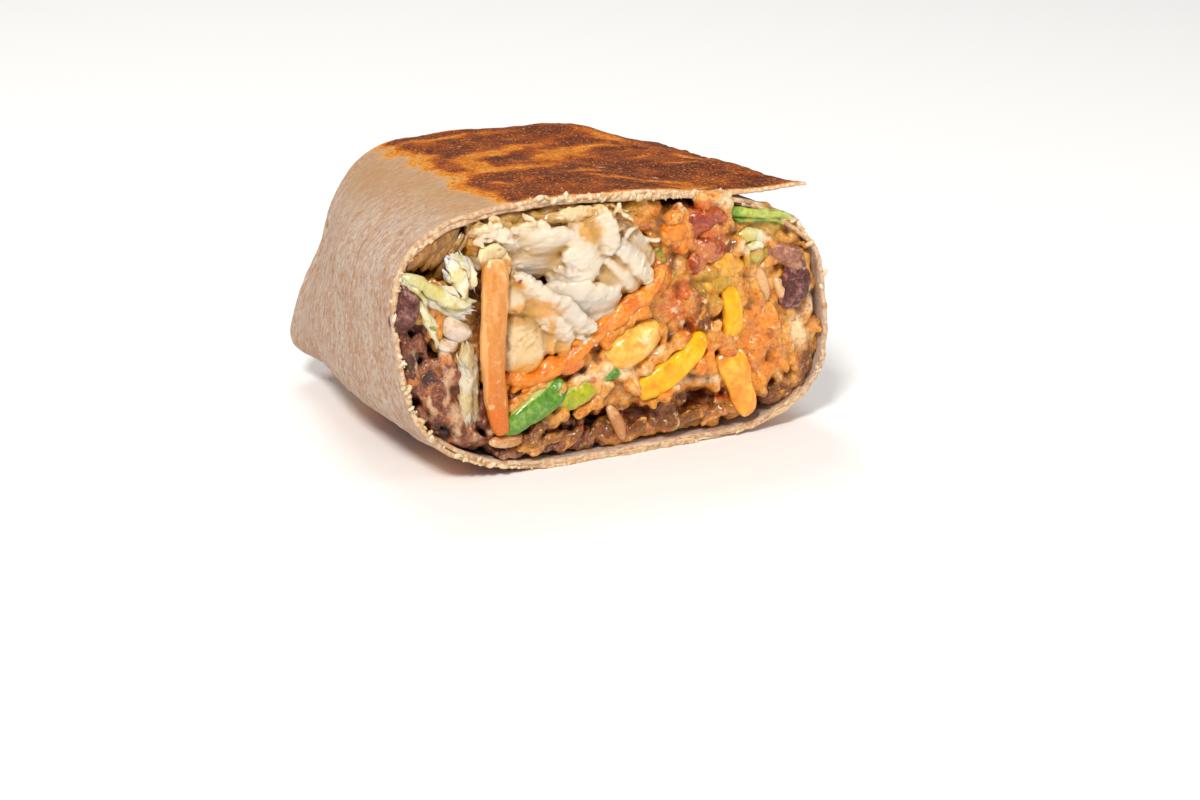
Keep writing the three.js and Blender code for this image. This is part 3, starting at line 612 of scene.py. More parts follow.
def pebble(centre, size, turn=0.0, lean=0.0, nod=0.0, square=2.3, dents=0.06, dentSize=0.6,
           bend=0.0, curve=0.0, taper=0.0, seed=1, columns=16, rows=11):
    # a rounded lump: long, deep and high; bend and curve bow it, taper narrows its far end
    a = np.linspace(0, 2 * math.pi, columns, endpoint=False)
    b = np.linspace(-math.pi / 2, math.pi / 2, rows + 2)[1:-1]
    rings = np.stack(np.broadcast_arrays(
        np.sin(b)[:, None], np.cos(b)[:, None] * np.cos(a), np.cos(b)[:, None] * np.sin(a)), axis=-1)
    way = np.concatenate([[[-1.0, 0, 0]], rings.reshape(-1, 3), [[1.0, 0, 0]]])
    reach = (np.abs(way) ** square).sum(1) ** (-1 / square)
    reach *= 1 + dents * layeredNoise(way + seed * 3.7, dentSize, seed, 2)
    p = way * reach[:, None]
    narrow = 1 - taper * smooth((p[:, :1] + 0.4) / 1.4)
    p = np.concatenate([p[:, :1], p[:, 1:] * narrow], axis=1) * (np.array(size) / 2)
    long = p[:, 0] / (size[0] / 2)
    p[:, 1] += bend * (long**2 - 0.3)
    p[:, 2] += curve * (long**2 - 0.3)
    p = spin(spin(spin(p, 0, lean), 2, nod), 1, -turn) + centre
    return p, closedFaces(rows, columns)


def spin(points, axis, angle):
    c, s = math.cos(angle), math.sin(angle)
    i, j = ((1, 2), (2, 0), (0, 1))[axis]
    result = points.copy()
    result[:, i] = points[:, i] * c - points[:, j] * s
    result[:, j] = points[:, i] * s + points[:, j] * c
    return result


def curveThrough(path, count):
    # a smooth line through the given points, evenly spaced
    path = np.asarray(path, float)
    padded = np.vstack([2 * path[0] - path[1], path, 2 * path[-1] - path[-2]])
    line = []
    for k in range(len(path) - 1):
        p0, p1, p2, p3 = padded[k : k + 4]
        t = np.linspace(0, 1, 24, endpoint=k == len(path) - 2)[:, None]
        line.append(0.5 * (2 * p1 + (p2 - p0) * t + (2 * p0 - 5 * p1 + 4 * p2 - p3) * t**2
                           + (3 * p1 - p0 - 3 * p2 + p3) * t**3))
    return resampled(np.concatenate(line), count)[0]


def ribbon(path, width, thick, square=3.0, blunt=6.0, twist=(0.0, 0.0), ruffle=0.0, ruffleSize=4.0,
           rough=0.0, roughSize=1.2, hollow=0.0, widths=(1, 1), seed=1, columns=24, rows=60,
           groove=0.0, torn=0.0, fray=0.0):
    # a strip along a path; width lies across the cut face, thickness runs into it;
    # groove cuts fibres along it, torn frays its two ends and fray its sides
    line = curveThrough(path, rows + 2)
    share = np.linspace(0, 1, rows + 2)
    along = unit(np.gradient(line, axis=0))
    across = unit(np.cross(np.broadcast_to((0.0, 1.0, 0.0), along.shape), along))
    into = unit(np.cross(along, across))
    turn = lerp(twist[0], twist[1], share)[:, None]
    side = across * np.cos(turn) + into * np.sin(turn)
    front = into * np.cos(turn) - across * np.sin(turn)
    a = np.linspace(0, 2 * math.pi, columns, endpoint=False)
    power = 2 / square
    u = np.sign(np.cos(a)) * np.abs(np.cos(a)) ** power
    v = np.sign(np.sin(a)) * np.abs(np.sin(a)) ** power
    close = (1 - np.abs(2 * share - 1) ** blunt) ** (1 / blunt) if blunt else np.ones(rows + 2)
    wide = width / 2 * close * lerp(widths[0], widths[1], share)
    wide = wide * (1 + 0.12 * softNoise(line, 5, seed + 5))
    wide = np.broadcast_to(wide[:, None], (rows + 2, columns))
    if fray:
        sides = np.stack(np.broadcast_arrays((share * rows)[:, None] * 0.12, np.sign(u)[None, :] * 9.0, 0.0),
                         -1)
        wide = wide * (1 + fray * layeredNoise(sides, 0.9, seed + 3, 2) * np.abs(u) ** 2)
    deep = thick / 2 * np.minimum(1, close * 1.15)
    grid = line[:, None] + side[:, None] * (wide * u)[..., None]
    grid = grid + front[:, None] * (deep[:, None] * v)[..., None]
    if hollow:  # the strip's front is dished along its length
        grid = grid + front[:, None] * (hollow * (u**2 - 0.4) * close[:, None])[..., None]
    if ruffle:
        wave = layeredNoise(line, ruffleSize, seed + 9, 2)
        wave2 = layeredNoise(line + 31, ruffleSize * 0.6, seed + 11, 2)
        grid = grid + front[:, None] * (ruffle * (wave[:, None] + wave2[:, None] * u))[..., None]
        grid = grid + side[:, None] * (0.5 * ruffle * wave2[:, None] * np.abs(u))[..., None]
    if groove:
        lanes = np.stack(np.broadcast_arrays(u * width, v * thick, (share * rows * 0.035)[:, None]), -1)
        cuts = 0.6 * softNoise(lanes, 1.5, seed + 21) + 0.5 * softNoise(lanes, 0.75, seed + 22)
        out = unit(grid - line[:, None])
        grid = grid + out * (groove * cuts * close[:, None])[..., None]
    if torn:
        ends = smooth((np.abs(2 * share - 1) - 0.62) / 0.38)[:, None] * np.sign(2 * share - 1)[:, None]
        tips = layeredNoise(np.stack(np.broadcast_arrays(u * width, v * thick, 0.0), -1), 1.3, seed + 31, 2)
        grid = grid + along[:, None] * (torn * ends * tips)[..., None]
    if rough:
        out = unit(grid - line[:, None])
        grid = grid + out * (rough * layeredNoise(grid, roughSize, seed + 13, 2) * close[:, None])[..., None]
    body = grid[1:-1].reshape(-1, 3)
    points = np.vstack([line[:1], body, line[-1:]])
    return points, closedFaces(rows, columns)


def gathered(parts):
    points, faces, start = [], [], 0
    for p, f in parts:
        points.append(p)
        faces += [[k + start for k in face] for face in f]
        start += len(p)
    return np.concatenate(points), faces


def vectorsOf(items, what):
    values = np.zeros(len(items) * 3)
    items.foreach_get(what, values)
    return values.reshape(-1, 3)


def fused(parts, grain, easing=2):
    # overlapping lumps become one skin, as wet food clings together
    points, faces = gathered(parts)
    mesh = bpy.data.meshes.new("clinging")
    mesh.from_pydata(points.tolist(), [], faces)
    piece = placed("clinging", mesh)
    remesh = piece.modifiers.new("cling", "REMESH")
    remesh.mode = "VOXEL"
    remesh.voxel_size = grain
    ease = piece.modifiers.new("ease", "SMOOTH")
    ease.iterations = easing
    ease.factor = 0.5
    done = piece.evaluated_get(bpy.context.evaluated_depsgraph_get())
    skin = done.to_mesh()
    joined, normals = vectorsOf(skin.vertices, "co"), vectorsOf(skin.vertices, "normal")
    corners = np.zeros(len(skin.loops), np.int64)
    skin.loops.foreach_get("vertex_index", corners)
    done.to_mesh_clear()
    bpy.data.objects.remove(piece)
    bpy.data.meshes.remove(mesh)
    return joined, corners.reshape(-1, 4), normals


def cavities(points, cell=1.1, depth=1.6):
    # 1 in the cracks between lumps, 0 on what stands out, seen from the cut face; the masks for painted shade
    # are made from it
    across, upward = (points[:, 0] + 60) / cell, (points[:, 2] + 10) / cell  # over a grid of 130 by 80 mm
    empty = 90.0
    front = np.full((int(130 / cell), int(80 / cell)), empty)
    np.minimum.at(front, (np.floor(across).astype(int), np.floor(upward).astype(int)), points[:, 1])
    front[front == empty] = 3.0
    around = sum(np.roll(front, (a, b), (0, 1)) for a in (-1, 0, 1) for b in (-1, 0, 1)) / 9
    # the four nearest cells are blended, so that no grid shows
    x, z = across - 0.5, upward - 0.5
    i, j = np.floor(x).astype(int), np.floor(z).astype(int)
    u, v = x - i, z - j
    level = lerp(lerp(around[i, j], around[i + 1, j], u), lerp(around[i, j + 1], around[i + 1, j + 1], u), v)
    return np.clip((points[:, 1] - level) / depth + 0.1, 0, 1)


def meshNormals(points, faces):
    mesh = bpy.data.meshes.new("normals")
    mesh.from_pydata(points.tolist(), [], faces)
    mesh.update()
    normals = vectorsOf(mesh.vertices, "normal")
    bpy.data.meshes.remove(mesh)
    return normals


def textured(parts, depth, size, seed, layers=3):
    # small uneven relief all over a piece
    points, faces = gathered(parts)
    normals = meshNormals(points, faces)
    return points + normals * (depth * layeredNoise(points, size, seed, layers))[:, None], faces


def grained(points, size, seed, turn=0.0, stretch=1.0, layers=2):
    # noise drawn out along a lie in the cut face, on a lattice that is tilted off the axes
    p = spin(points, 1, turn) * (1 / stretch, 1, 1)
    return layeredNoise(spin(spin(p, 0, 0.62), 2, 0.45), size, seed, layers)


def ridged(points, depth, size, seed, lie=0.0, stretch=1.0, layers=1):
    # sharp little ridges, where the noise is folded at zero
    return depth * np.abs(grained(points, size, seed, lie, stretch, layers))


def finishesOf(looks, ending=""):
    return {name: foodFinish(name + ending, look) for name, look in looks.items()}


def foodFinish(name, look):
    # shade, main and light colour mixed by soft noise, spots, painted shade in hollows, wet gloss and fine
    # relief
    f = Finish(name, 0.4, look.get("scatter", 0.25), look.get("scatterColour", (1, 0.5, 0.25)),
               look.get("coat", 0.35), look.get("specular", 0.5))
    shade, main, light = look["colours"]
    place = f.stretched(look.get("streak", (1, 1, 1)))
    broad = f.noise(look.get("patchSize", 4), 3, 0.6, 0.8, place)
    fine = f.noise(look.get("grainSize", 0.9), 3, 0.6, 0.3, place)
    value = f.maths("ADD", f.times(broad, 0.65), f.times(fine, 0.35))
    colour = f.ramp(value, [(0.33, shade), (0.5, main), (0.68, light)])
    for maskName, maskColour, strength in look.get("masks", ()):
        colour = f.over(colour, f.step(f.shaken(f.mask(maskName), fine, 0.9), 0.2, 0.9), strength, maskColour)
    for spotColour, size, amount in look.get("spots", ()):
        wanted = f.step(f.noise(size, 2, 0.5, 0.4), 1 - amount, 1 - amount + 0.17)
        colour = f.over(colour, wanted, 0.8, spotColour)
    # small darker and lighter flecks over everything
    flecks = f.noise(look.get("grainSize", 0.9) * 0.8, 4, 0.7, 0.5)
    dark = f.times(f.step(flecks, 0.5, 0.34), look.get("contrast", 0.12))
    colour = f.mix(dark, colour, "#9a6038", "MULTIPLY")
    colour = f.over(colour, f.step(flecks, 0.54, 0.72), 0.4, light)
    # painted shade: the look's crack colour is laid where the crack mask marks hollows and deep-lying parts
    if "crackShade" in look:
        colour = f.mix(f.step(f.mask("crackShade"), 0.25, 1.0), colour, look["crackShade"])
    f.colour(colour)
    layers = [(f.noise(size, 3, 0.6, 0.3, place), depth) for size, depth in look.get("bump", ((0.9, 0.15),))]
    f.bumps(*layers)
    low, high = look.get("gloss", (0.3, 0.5))
    f.gloss(f.maths("ADD", low, f.times(f.noise(1.7, 3), high - low)))
    return f.material

rice = {
    "spacing": 2.3, "lump": (2.2, 4.4), "smallSpacing": 2.6, "small": (0.9, 1.9), "voxel": 0.41, "front": 1.2,
    "crustDepth": 6.5,
    # hollows and swells of the cut face: x, z, half width, half height, how deep
    "relief": [
        (-8, 39, 17, 9, 4.6), (-14, 27, 8, 9, 4.2), (-35, 40.2, 4, 2.6, 9), (-28.2, 44.6, 1.6, 3.2, 6.5),
        (27.3, 46.4, 4.2, 1.6, 6), (-13, 8.6, 5, 1.9, 5.5), (-1.5, 7.6, 4.5, 2.2, 5), (20, 8.4, 6.5, 1.8, 5),
        (37.6, 9.6, 2.6, 1.3, 5), (33.4, 6.2, 2, 2.2, 4.5), (7, 7.2, 2.4, 1.8, 4.4), (33, 19, 6, 8, -1.1),
        (20, 27, 2.6, 9, -0.9), (21, 41, 7, 5, -1), (12.5, 35, 3, 5, -0.5), (-26, 36, 2, 5, 2.5),
        (17.4, 23.6, 2, 1.6, 2.2), (15, 31, 1.6, 2.6, 2), (30.2, 35.8, 3, 1.2, 2.5),
        (36.6, 34.4, 1.6, 3, 2.5), (25.6, 16.6, 2.4, 3.4, 1.6),
    ],
    # larger wet lumps that give the cut face its form: x, z, long, high, turn, how far forward
    "big": [
        (22.6, 32, 6, 7.4, 1.6, 1.1), (20, 25.6, 9.5, 4.2, 1.55, 0.7), (20.3, 20, 6, 4, 1.5, 0.5),
        (29.6, 22.4, 8.5, 4.4, 1.9, 1), (32, 17.6, 7, 4.6, 1.9, 1.1), (34.4, 20.6, 8.5, 3.4, 2, 0.9),
        (33.6, 12.4, 6.4, 4.4, 2.2, 0.8), (37.4, 18.6, 8, 3, 1.95, 0.7), (40.2, 16.4, 9, 3, 1.85, 0.5),
        (36.9, 13.6, 6.5, 3, 1.9, 0.4), (42, 20.4, 8, 2.8, 1.75, 0.3), (43.4, 14.4, 6, 2.6, 1.5, 0.2),
        (36.6, 6.9, 6.2, 3.6, 0.35, 0.6), (41.4, 9.6, 5, 3, 0.9, 0.2), (23.8, 41.4, 8, 3.8, 1.5, 0.9),
        (24.2, 37.2, 5, 4, 1.5, 0.7), (36.4, 41.8, 7, 2.8, -0.2, 0), (40.4, 40.8, 5, 2.6, -0.6, -0.2),
        (32.4, 44.6, 7, 2.2, -0.1, 0.1), (11.4, 33.4, 6.5, 4.6, 1.1, 0.8), (13, 38.4, 6, 4, 1.7, 0.5),
        (16.4, 35.4, 7.5, 3.2, 1.6, 0.4), (8.2, 12.6, 5, 3, 0.3, 0.4), (13.6, 12.2, 7, 2.4, 0.25, 0.8),
        (20.6, 12.2, 6.5, 2.4, 0.1, 0.7), (8.6, 6.4, 5.4, 3.8, 1.2, 0.4), (13.8, 5.8, 5, 4.2, 1.5, 0.5),
        (24.6, 9.4, 7, 1.8, -0.5, 0.7), (-2.6, 48.2, 12, 2, 0.03, 0.2), (8.4, 47.2, 8, 2.2, -0.1, 0.4),
        (-14.6, 13.2, 5, 2.6, 0.5, 0.2), (3.4, 12.6, 6, 2.4, 0.3, 0.2), (-4.4, 11.2, 5, 2, 0.1, 0.1),
        (30.6, 39, 6, 2.6, 0.1, 0.3), (28.4, 31.4, 5, 4, 1.8, 0.4),
    ],
    # sauce that laps over the edges of a piece: from x, z, to x, z, width of the piece, how far forward
    "laps": [
        (7.4, 12.6, 20.6, 20.9, 6.2, -1.5), (1.4, 20.4, 10.5, 24, 8.2, -1.2),
        (-19, 9.6, -9.2, 14.4, 6.4, -0.8), (-9.6, 12.4, -1.8, 14.4, 4.8, -0.9),
        (-2.6, 16, 6.6, 17.4, 3.4, -0.7), (26, 17, 29.2, 7, 7.8, -1.3), (24.8, 31, 26.2, 20.8, 5, -1.1),
        (22, 34, 29, 34.8, 6.4, -1), (17.4, 44, 24.4, 45, 5.4, -1), (18.6, 38, 24.6, 38.6, 6.2, -1.1),
        (13.2, 42.4, 16, 43.2, 5.4, -1), (29.6, 35.6, 35.2, 36, 4.2, 0.2), (-2, 28, 9, 36, 4.4, 1),
        (34, 33, 36, 26, 5, 0.6),
    ],
    "lapSize": (1.6, 4), "lapSpacing": 1.3, "lapGaps": 0.4,
    "grainSize": (7.2, 2.3), "grainSeed": 8, "grainApart": 7,  # mm squared between two grains' middles
    # where grains show through the sauce: x from and to, z from and to, how many, slope of their lie
    "grainAreas": [(35, 44, 10, 28, 9, 1.95), (28, 34, 22, 33, 4, 1.8), (-17, 12, 4, 8.4, 16, 0.7),
                   (15, 33, 4, 8, 8, 0.3)],
    # the shape of each kind of lump, in the words of pebble
    "grainForm": dict(square=2.2, dents=0.035, dentSize=0.8, bend=0.25, curve=0.25, columns=12),
    "bigForm": dict(lean=0.2, nod=0.05, square=2.5, dents=0.1, dentSize=0.7, bend=0.3, curve=0.3, columns=20,
                    rows=14),
    "lapForm": dict(dents=0.13, columns=14, rows=9), "lumpForm": dict(dents=0.12, columns=10, rows=6),
    "backForm": dict(square=4, dents=0, columns=8, rows=3), "easing": 4,
    "namedGrains": [(33.2, 30, 1.83), (37.9, 27.4, 1.97), (-20.8, 7, -0.05), (2.4, 6.6, 1.95)],
}
areas = {  # x, z, half width, half height
    "red": [(19.8, 46.8, 3, 1.6), (19.8, 41.6, 4.6, 5), (21, 37, 3.4, 2.8), (14.6, 26, 3.6, 3.2),
            (17.4, 22.6, 2.4, 2.4), (25.4, 16, 2.2, 4.4), (15.6, 30, 3.4, 2.6), (9.5, 31.6, 2.6, 2.2),
            (24.6, 8.6, 5, 1.6), (-22.5, 9, 2.2, 2)],
    "brown": [(44, 12, 2.6, 7), (6, 6.2, 28, 3.6), (36, 7, 9, 3), (13.8, 37, 2.6, 4), (20, 26, 2.2, 9),
              (24.6, 39, 1.6, 5), (-18, 8, 8, 3), (-25.5, 33, 3, 12), (20, 8.6, 8, 2.4)],
    "orange": [(-14, 18.5, 7, 2.2), (-3, 23.5, 4, 3), (5, 29, 5, 3), (11, 34, 4.4, 4.6), (31.5, 20, 5.5, 8.5),
               (17, 44.5, 3, 2), (13.5, 40.5, 2.6, 2.6), (20, 17.5, 5, 3), (34.5, 14, 4, 5),
               (13, 12.5, 10, 1.6)],
    "olive": [(-6, 48.6, 16, 1.5), (37, 42.6, 8, 4.4), (34, 45.6, 9, 2.6), (-30, 41, 5, 4),
              (30.2, 35.8, 3.2, 1.6), (5.8, 47.7, 3, 1.4), (-27.5, 34, 3, 3), (-26.5, 11, 4, 2),
              (22.8, 31.6, 3, 5.4), (19.8, 32.5, 1.6, 4)],
    "cream": [(24.6, 47.2, 2, 2), (15.4, 47.2, 1.6, 1.6), (1.6, 17.4, 6.2, 2), (13.5, 13.4, 9, 1.3),
              (-5.5, 17.9, 5, 1.4), (28.4, 38.8, 2.4, 1.8), (32.6, 39, 2.2, 1.6), (9.4, 20.6, 2.4, 1.4),
              (-24, 47.4, 4, 1.4), (21.5, 13, 3.4, 1.2), (14.4, 27.2, 1.3, 1.1), (16.2, 23.6, 1, 1),
              (42, 31, 1.6, 3), (41.6, 20, 1.6, 4), (43, 25, 1.4, 4)],
}


def spread(points, spots):
    # how much each point lies in the named areas, with uneven borders
    flatPoints = points * (1, 0, 1)
    x = points[:, 0] + 1.1 * layeredNoise(flatPoints, 3.6, 91)
    z = points[:, 2] + 1.1 * layeredNoise(flatPoints, 3.6, 93)
    total = np.zeros(len(points))
    for middleX, middleZ, wide, high in spots:
        total = np.maximum(total, np.exp(-(((x - middleX) / wide) ** 2 + ((z - middleZ) / high) ** 2)))
    return total


def recessAt(x, z):
    depth = np.full(np.shape(x), rice["front"], float)
    for middleX, middleZ, wide, high, deep in rice["relief"]:
        depth += deep * np.exp(-((((x - middleX) / wide) ** 2 + ((z - middleZ) / high) ** 2) ** 1.6))
    return depth


def insideWrap(x, z, inset):
    # true where a point of the cut face lies at least inset from the wrap's skin
    outline = skinPoint(0, np.linspace(0, 2 * math.pi, 241), inset)
    a, b = outline[:-1], outline[1:]
    crosses = (a[:, 2] > z) != (b[:, 2] > z)
    a, b = a[crosses], b[crosses]
    where = a[:, 0] + (z - a[:, 2]) / (b[:, 2] - a[:, 2]) * (b[:, 0] - a[:, 0])
    return bool((x < where).sum() % 2)


def grainShape(centre, turn, nod, size, seed):
    long, wide = size
    return pebble(centre, (long, wide * 0.95, wide), turn, 0, nod, seed=seed, **rice["grainForm"])


def looseGrains():
    long, wide = rice["grainSize"]
    grains = []
    for x, z, turn in rice["namedGrains"]:
        y = float(recessAt(x, z)) - 1.0 if z > 12 else min(float(recessAt(x, z)) - 1.6, 0.6)
        grains.append(grainShape((x, y, z), turn, 0.1, (long * 1.05, wide * 1.12), len(grains)))
    return grains


def sunkenGrains():
    random = np.random.default_rng(rice["grainSeed"])
    long, wide = rice["grainSize"]
    grains, taken = [], [spot[:2] for spot in rice["namedGrains"]]
    for low, high, bottom, top, count, slope in rice["grainAreas"]:
        for attempt in range(count * 12):
            if count == 0:
                break
            x, z = random.uniform(low, high), random.uniform(bottom, top)
            turn, nod = slope + random.normal(0, 0.25), random.normal(0, 0.2)
            share = random.uniform(0.85, 1.1)
            crowded = min((x - a) ** 2 + (z - b) ** 2 for a, b in taken) < rice["grainApart"]
            if crowded or not insideWrap(x, z, 4.0):
                continue
            y = float(recessAt(x, z)) - 0.5
            grains.append(grainShape((x, y, z), turn, nod, (long * share, wide), len(grains)))
            taken.append((x, z))
            count -= 1
    return grains


def lappingSauce():
    random = np.random.default_rng(77)
    lumps = []
    for x0, z0, x1, z1, width, forward in rice["laps"]:
        start, end = np.array((x0, z0)), np.array((x1, z1))
        length = np.linalg.norm(end - start)
        way = (end - start) / length
        side = np.array((-way[1], way[0]))
        outline = [(share, edge) for edge in (-1, 1) for share in np.arange(0, 1,
                                                                            rice["lapSpacing"] / length)]
        outline += [(share, edge) for share in (-0.08, 1.05) for edge in (-0.5, 0, 0.5)]  # round its two ends
        for share, edge in outline:
            if random.random() < rice["lapGaps"]:
                continue
            spot = lerp(start, end, share) + side * edge * width / 2 * random.uniform(0.98, 1.25)
            long = random.uniform(*rice["lapSize"])
            shape = (long * random.uniform(0.9, 1.4), 3.4, long * random.uniform(0.6, 1.0))
            y = forward + 1.0 + random.normal(0, 0.4)
            turn, lean = random.uniform(0, math.pi), random.uniform(-0.4, 0.4)
            lumps.append(pebble((spot[0], y, spot[1]), shape, turn, lean, seed=len(lumps), **rice["lapForm"]))
    return lumps


cutFace = {
    "left": -43, "right": 47, "low": 2.5, "top": 50,  # lumps are strewn over this much
    "middle": 1.5, "sideFrom": 31, "sideLow": 7, "sideTop": 43, "closeInset": 1.35, "inset": 2.5,
}


def wallInset(x, z):
    # how close the filling comes to the wrap's skin: its inner layer stops short at the sides
    atSide = abs(x - cutFace["middle"]) > cutFace["sideFrom"] and cutFace["sideLow"] < z < cutFace["sideTop"]
    return cutFace["closeInset"] if atSide else cutFace["inset"]


def crustLumps(keep, spacing, sizes, seed, forward=0.0, turn=0.9):
    # overlapping lumps over the part of the cut face that keep() allows
    random = np.random.default_rng(seed)
    lumps = []
    for z in np.arange(cutFace["low"], cutFace["top"], spacing):
        for x in np.arange(cutFace["left"], cutFace["right"], spacing):
            spotX = x + random.uniform(-0.5, 0.5) * spacing
            spotZ = z + random.uniform(-0.5, 0.5) * spacing
            size = random.uniform(*sizes)
            if not insideWrap(spotX, spotZ, wallInset(spotX, spotZ) + 0.25 * size) or not keep(spotX, spotZ):
                continue
            shape = (size * random.uniform(1.0, 1.9), size * 1.2, size)
            y = float(recessAt(spotX, spotZ)) - forward + 0.4 * size + random.normal(0, 0.3)
            lie, lean = turn + random.normal(0, 0.6), random.uniform(-0.5, 0.5)
            nod = random.uniform(-0.4, 0.4)
            lumps.append(pebble((spotX, y, spotZ), shape, lie, lean, nod, seed=len(lumps),
                                **rice["lumpForm"]))
    return lumps


def backing(keep, front, back):
    # a slab behind the lumps that closes the crust
    blocks = []
    for z in np.linspace(3.6, 49, 26):
        for x in np.linspace(-43, 46, 46):
            if insideWrap(x, z, wallInset(x, z) + 0.9) and keep(x, z):
                recess = max(float(recessAt(x, z)) - 1, 0)
                middle, size = (x, (front + back) / 2 + recess, z), (2.9, back - front, 2.9)
                blocks.append(pebble(middle, size, **rice["backForm"]))
    return blocks


# the wall that mash lines: from one angle round the middle of the cut to another
mashBand = {"middle": (2.9, 26), "thick": 11.5, "from": 2.95, "to": 4.62}


def isMash(x, z):
    # the bean mash lines the left wall and runs under the filling's lower left
    middleX, middleZ = mashBand["middle"]
    angle = math.atan2(z - middleZ, x - middleX) % (2 * math.pi)
    if not mashBand["from"] < angle < mashBand["to"]:
        return False
    fade = float(smooth((angle - mashBand["from"]) / 0.45) * smooth((mashBand["to"] - angle) / 0.5))
    return not insideWrap(x, z, 3 + mashBand["thick"] * (0.25 + 0.75 * fade))


def isRice(x, z):
    return not isMash(x, z)


def makeRice():
    lumps = crustLumps(isRice, rice["spacing"], rice["lump"], 4)
    lumps += crustLumps(isRice, rice["smallSpacing"], rice["small"], 5, 0.7)
    for k, (x, z, long, high, turn, forward) in enumerate(rice["big"]):
        y = float(recessAt(x, z)) - forward + 0.35 * high
        lumps.append(pebble((x, y, z), (long, high, high), turn, seed=500 + k, **rice["bigForm"]))
    lumps += sunkenGrains() + lappingSauce()
    lumps += backing(isRice, 1.3, rice["crustDepth"])
    points, faces, normals = fused(lumps, rice["voxel"], rice["easing"])
    relief = 0.11 * grained(points, 1.3, 101, layers=3) + ridged(points, 0.2, 2.4, 104) - 0.05
    points = points + normals * (relief * smooth((6 - points[:, 1]) / 3))[:, None]
    masks = {name: spread(points, spots) for name, spots in areas.items()}
    # painted shade: darker in the hollows between lumps and where the crust lies more than 3 mm back
    masks["crackShade"] = np.maximum(0.75 * cavities(points), smooth((points[:, 1] - 3.0) / 2.5))
    newPiece("rice_crust", points, faces.tolist(), sauceFinish(), ("rice_filling",), masks)
    grains, grainFaces = gathered(looseGrains())
    grains = grains + 0.03 * layeredNoise(grains, 1.2, 107)[:, None]
    masks = {name: spread(grains, areas[name]) for name in ("brown", "orange", "red")}
    # painted shade: grains lying further back are darker
    masks["crackShade"] = smooth((grains[:, 1] - 3.2) / 3)
    newPiece("rice_grains", grains, grainFaces, grainFinish(), ("rice_filling",), masks)
    makeCore()


def makeCore():
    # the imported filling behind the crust
    angles = np.linspace(0, 2 * math.pi, 72, endpoint=False)
    stops = [(y, 0) for y in (5.5, 12, 24, 38, 52, 68)] + [(68, k / 8) for k in range(1, 8)]
    grid = np.array([skinPoint(y, angles, 3.1, closing) for y, closing in stops])
    grid[0] = grid[0].mean(0) + (grid[0] - grid[0].mean(0)) * 0.985
    rows, count = grid.shape[:2]
    points = np.vstack([grid.reshape(-1, 3), grid[0].mean(0), grid[-1].mean(0)])
    faces = gridFaces(rows, count, 0, True, flip=True).tolist()
    last = (rows - 1) * count
    for j in range(count):
        faces.append((len(points) - 2, j, (j + 1) % count))
        faces.append((len(points) - 1, last + (j + 1) % count, last + j))
    points = points + 0.25 * layeredNoise(points, 5, 109)[:, None]
    masks = {name: np.zeros(len(points)) for name in areas}
    # painted shade: the whole core behind the crust is painted dark
    masks["crackShade"] = np.full(len(points), 0.8)
    newPiece("rice_core", points, faces, sauceFinish(), ("rice_filling",), masks)


def sauceFinish():
    if "saucedRice" in bpy.data.materials:
        return bpy.data.materials["saucedRice"]
    return foodFinish("saucedRice", {
        "colours": ("#c06a1e", "#e49c3e", "#f4c074"), "patchSize": 3.2, "grainSize": 0.8, "contrast": 0.4,
        "masks": [("brown", "#5a2404", 0.88), ("orange", "#ee8512", 0.7), ("red", "#c8461a", 0.7),
                  ("olive", "#b9962c", 0.8), ("cream", "#f7dcae", 0.85)],
        "spots": [("#c2440e", 1.6, 0.41), ("#8a4214", 2.2, 0.4), ("#f09a14", 2.6, 0.43),
                  ("#cf7a5c", 1.9, 0.4), ("#fbdcae", 1.3, 0.41)],
        # the crack colour is painted shade for hollows and deep parts
        "crackShade": "#5a200a", "coat": 0.45, "scatter": 0.3, "gloss": (0.08, 0.34), "specular": 0.25,
        "bump": ((1.0, 0.28), (0.4, 0.18)),
    })


def grainFinish():
    return foodFinish("riceGrain", {
        "colours": ("#d19a5c", "#e2b27c", "#f2d3a6"), "patchSize": 5, "grainSize": 1.1,
        "masks": [("brown", "#b5702e", 0.8), ("orange", "#f0a040", 0.85), ("red", "#d9713a", 0.6)],
        # the crack colour is painted shade for the deeper-lying grains
        "contrast": 0.3, "spots": [("#a85a24", 1.0, 0.3)], "crackShade": "#5a2a12", "coat": 0.35, "scatter": 0.35,
        "gloss": (0.15, 0.35), "bump": ((0.7, 0.1),),
    })


makeRice()
print("rice packed")

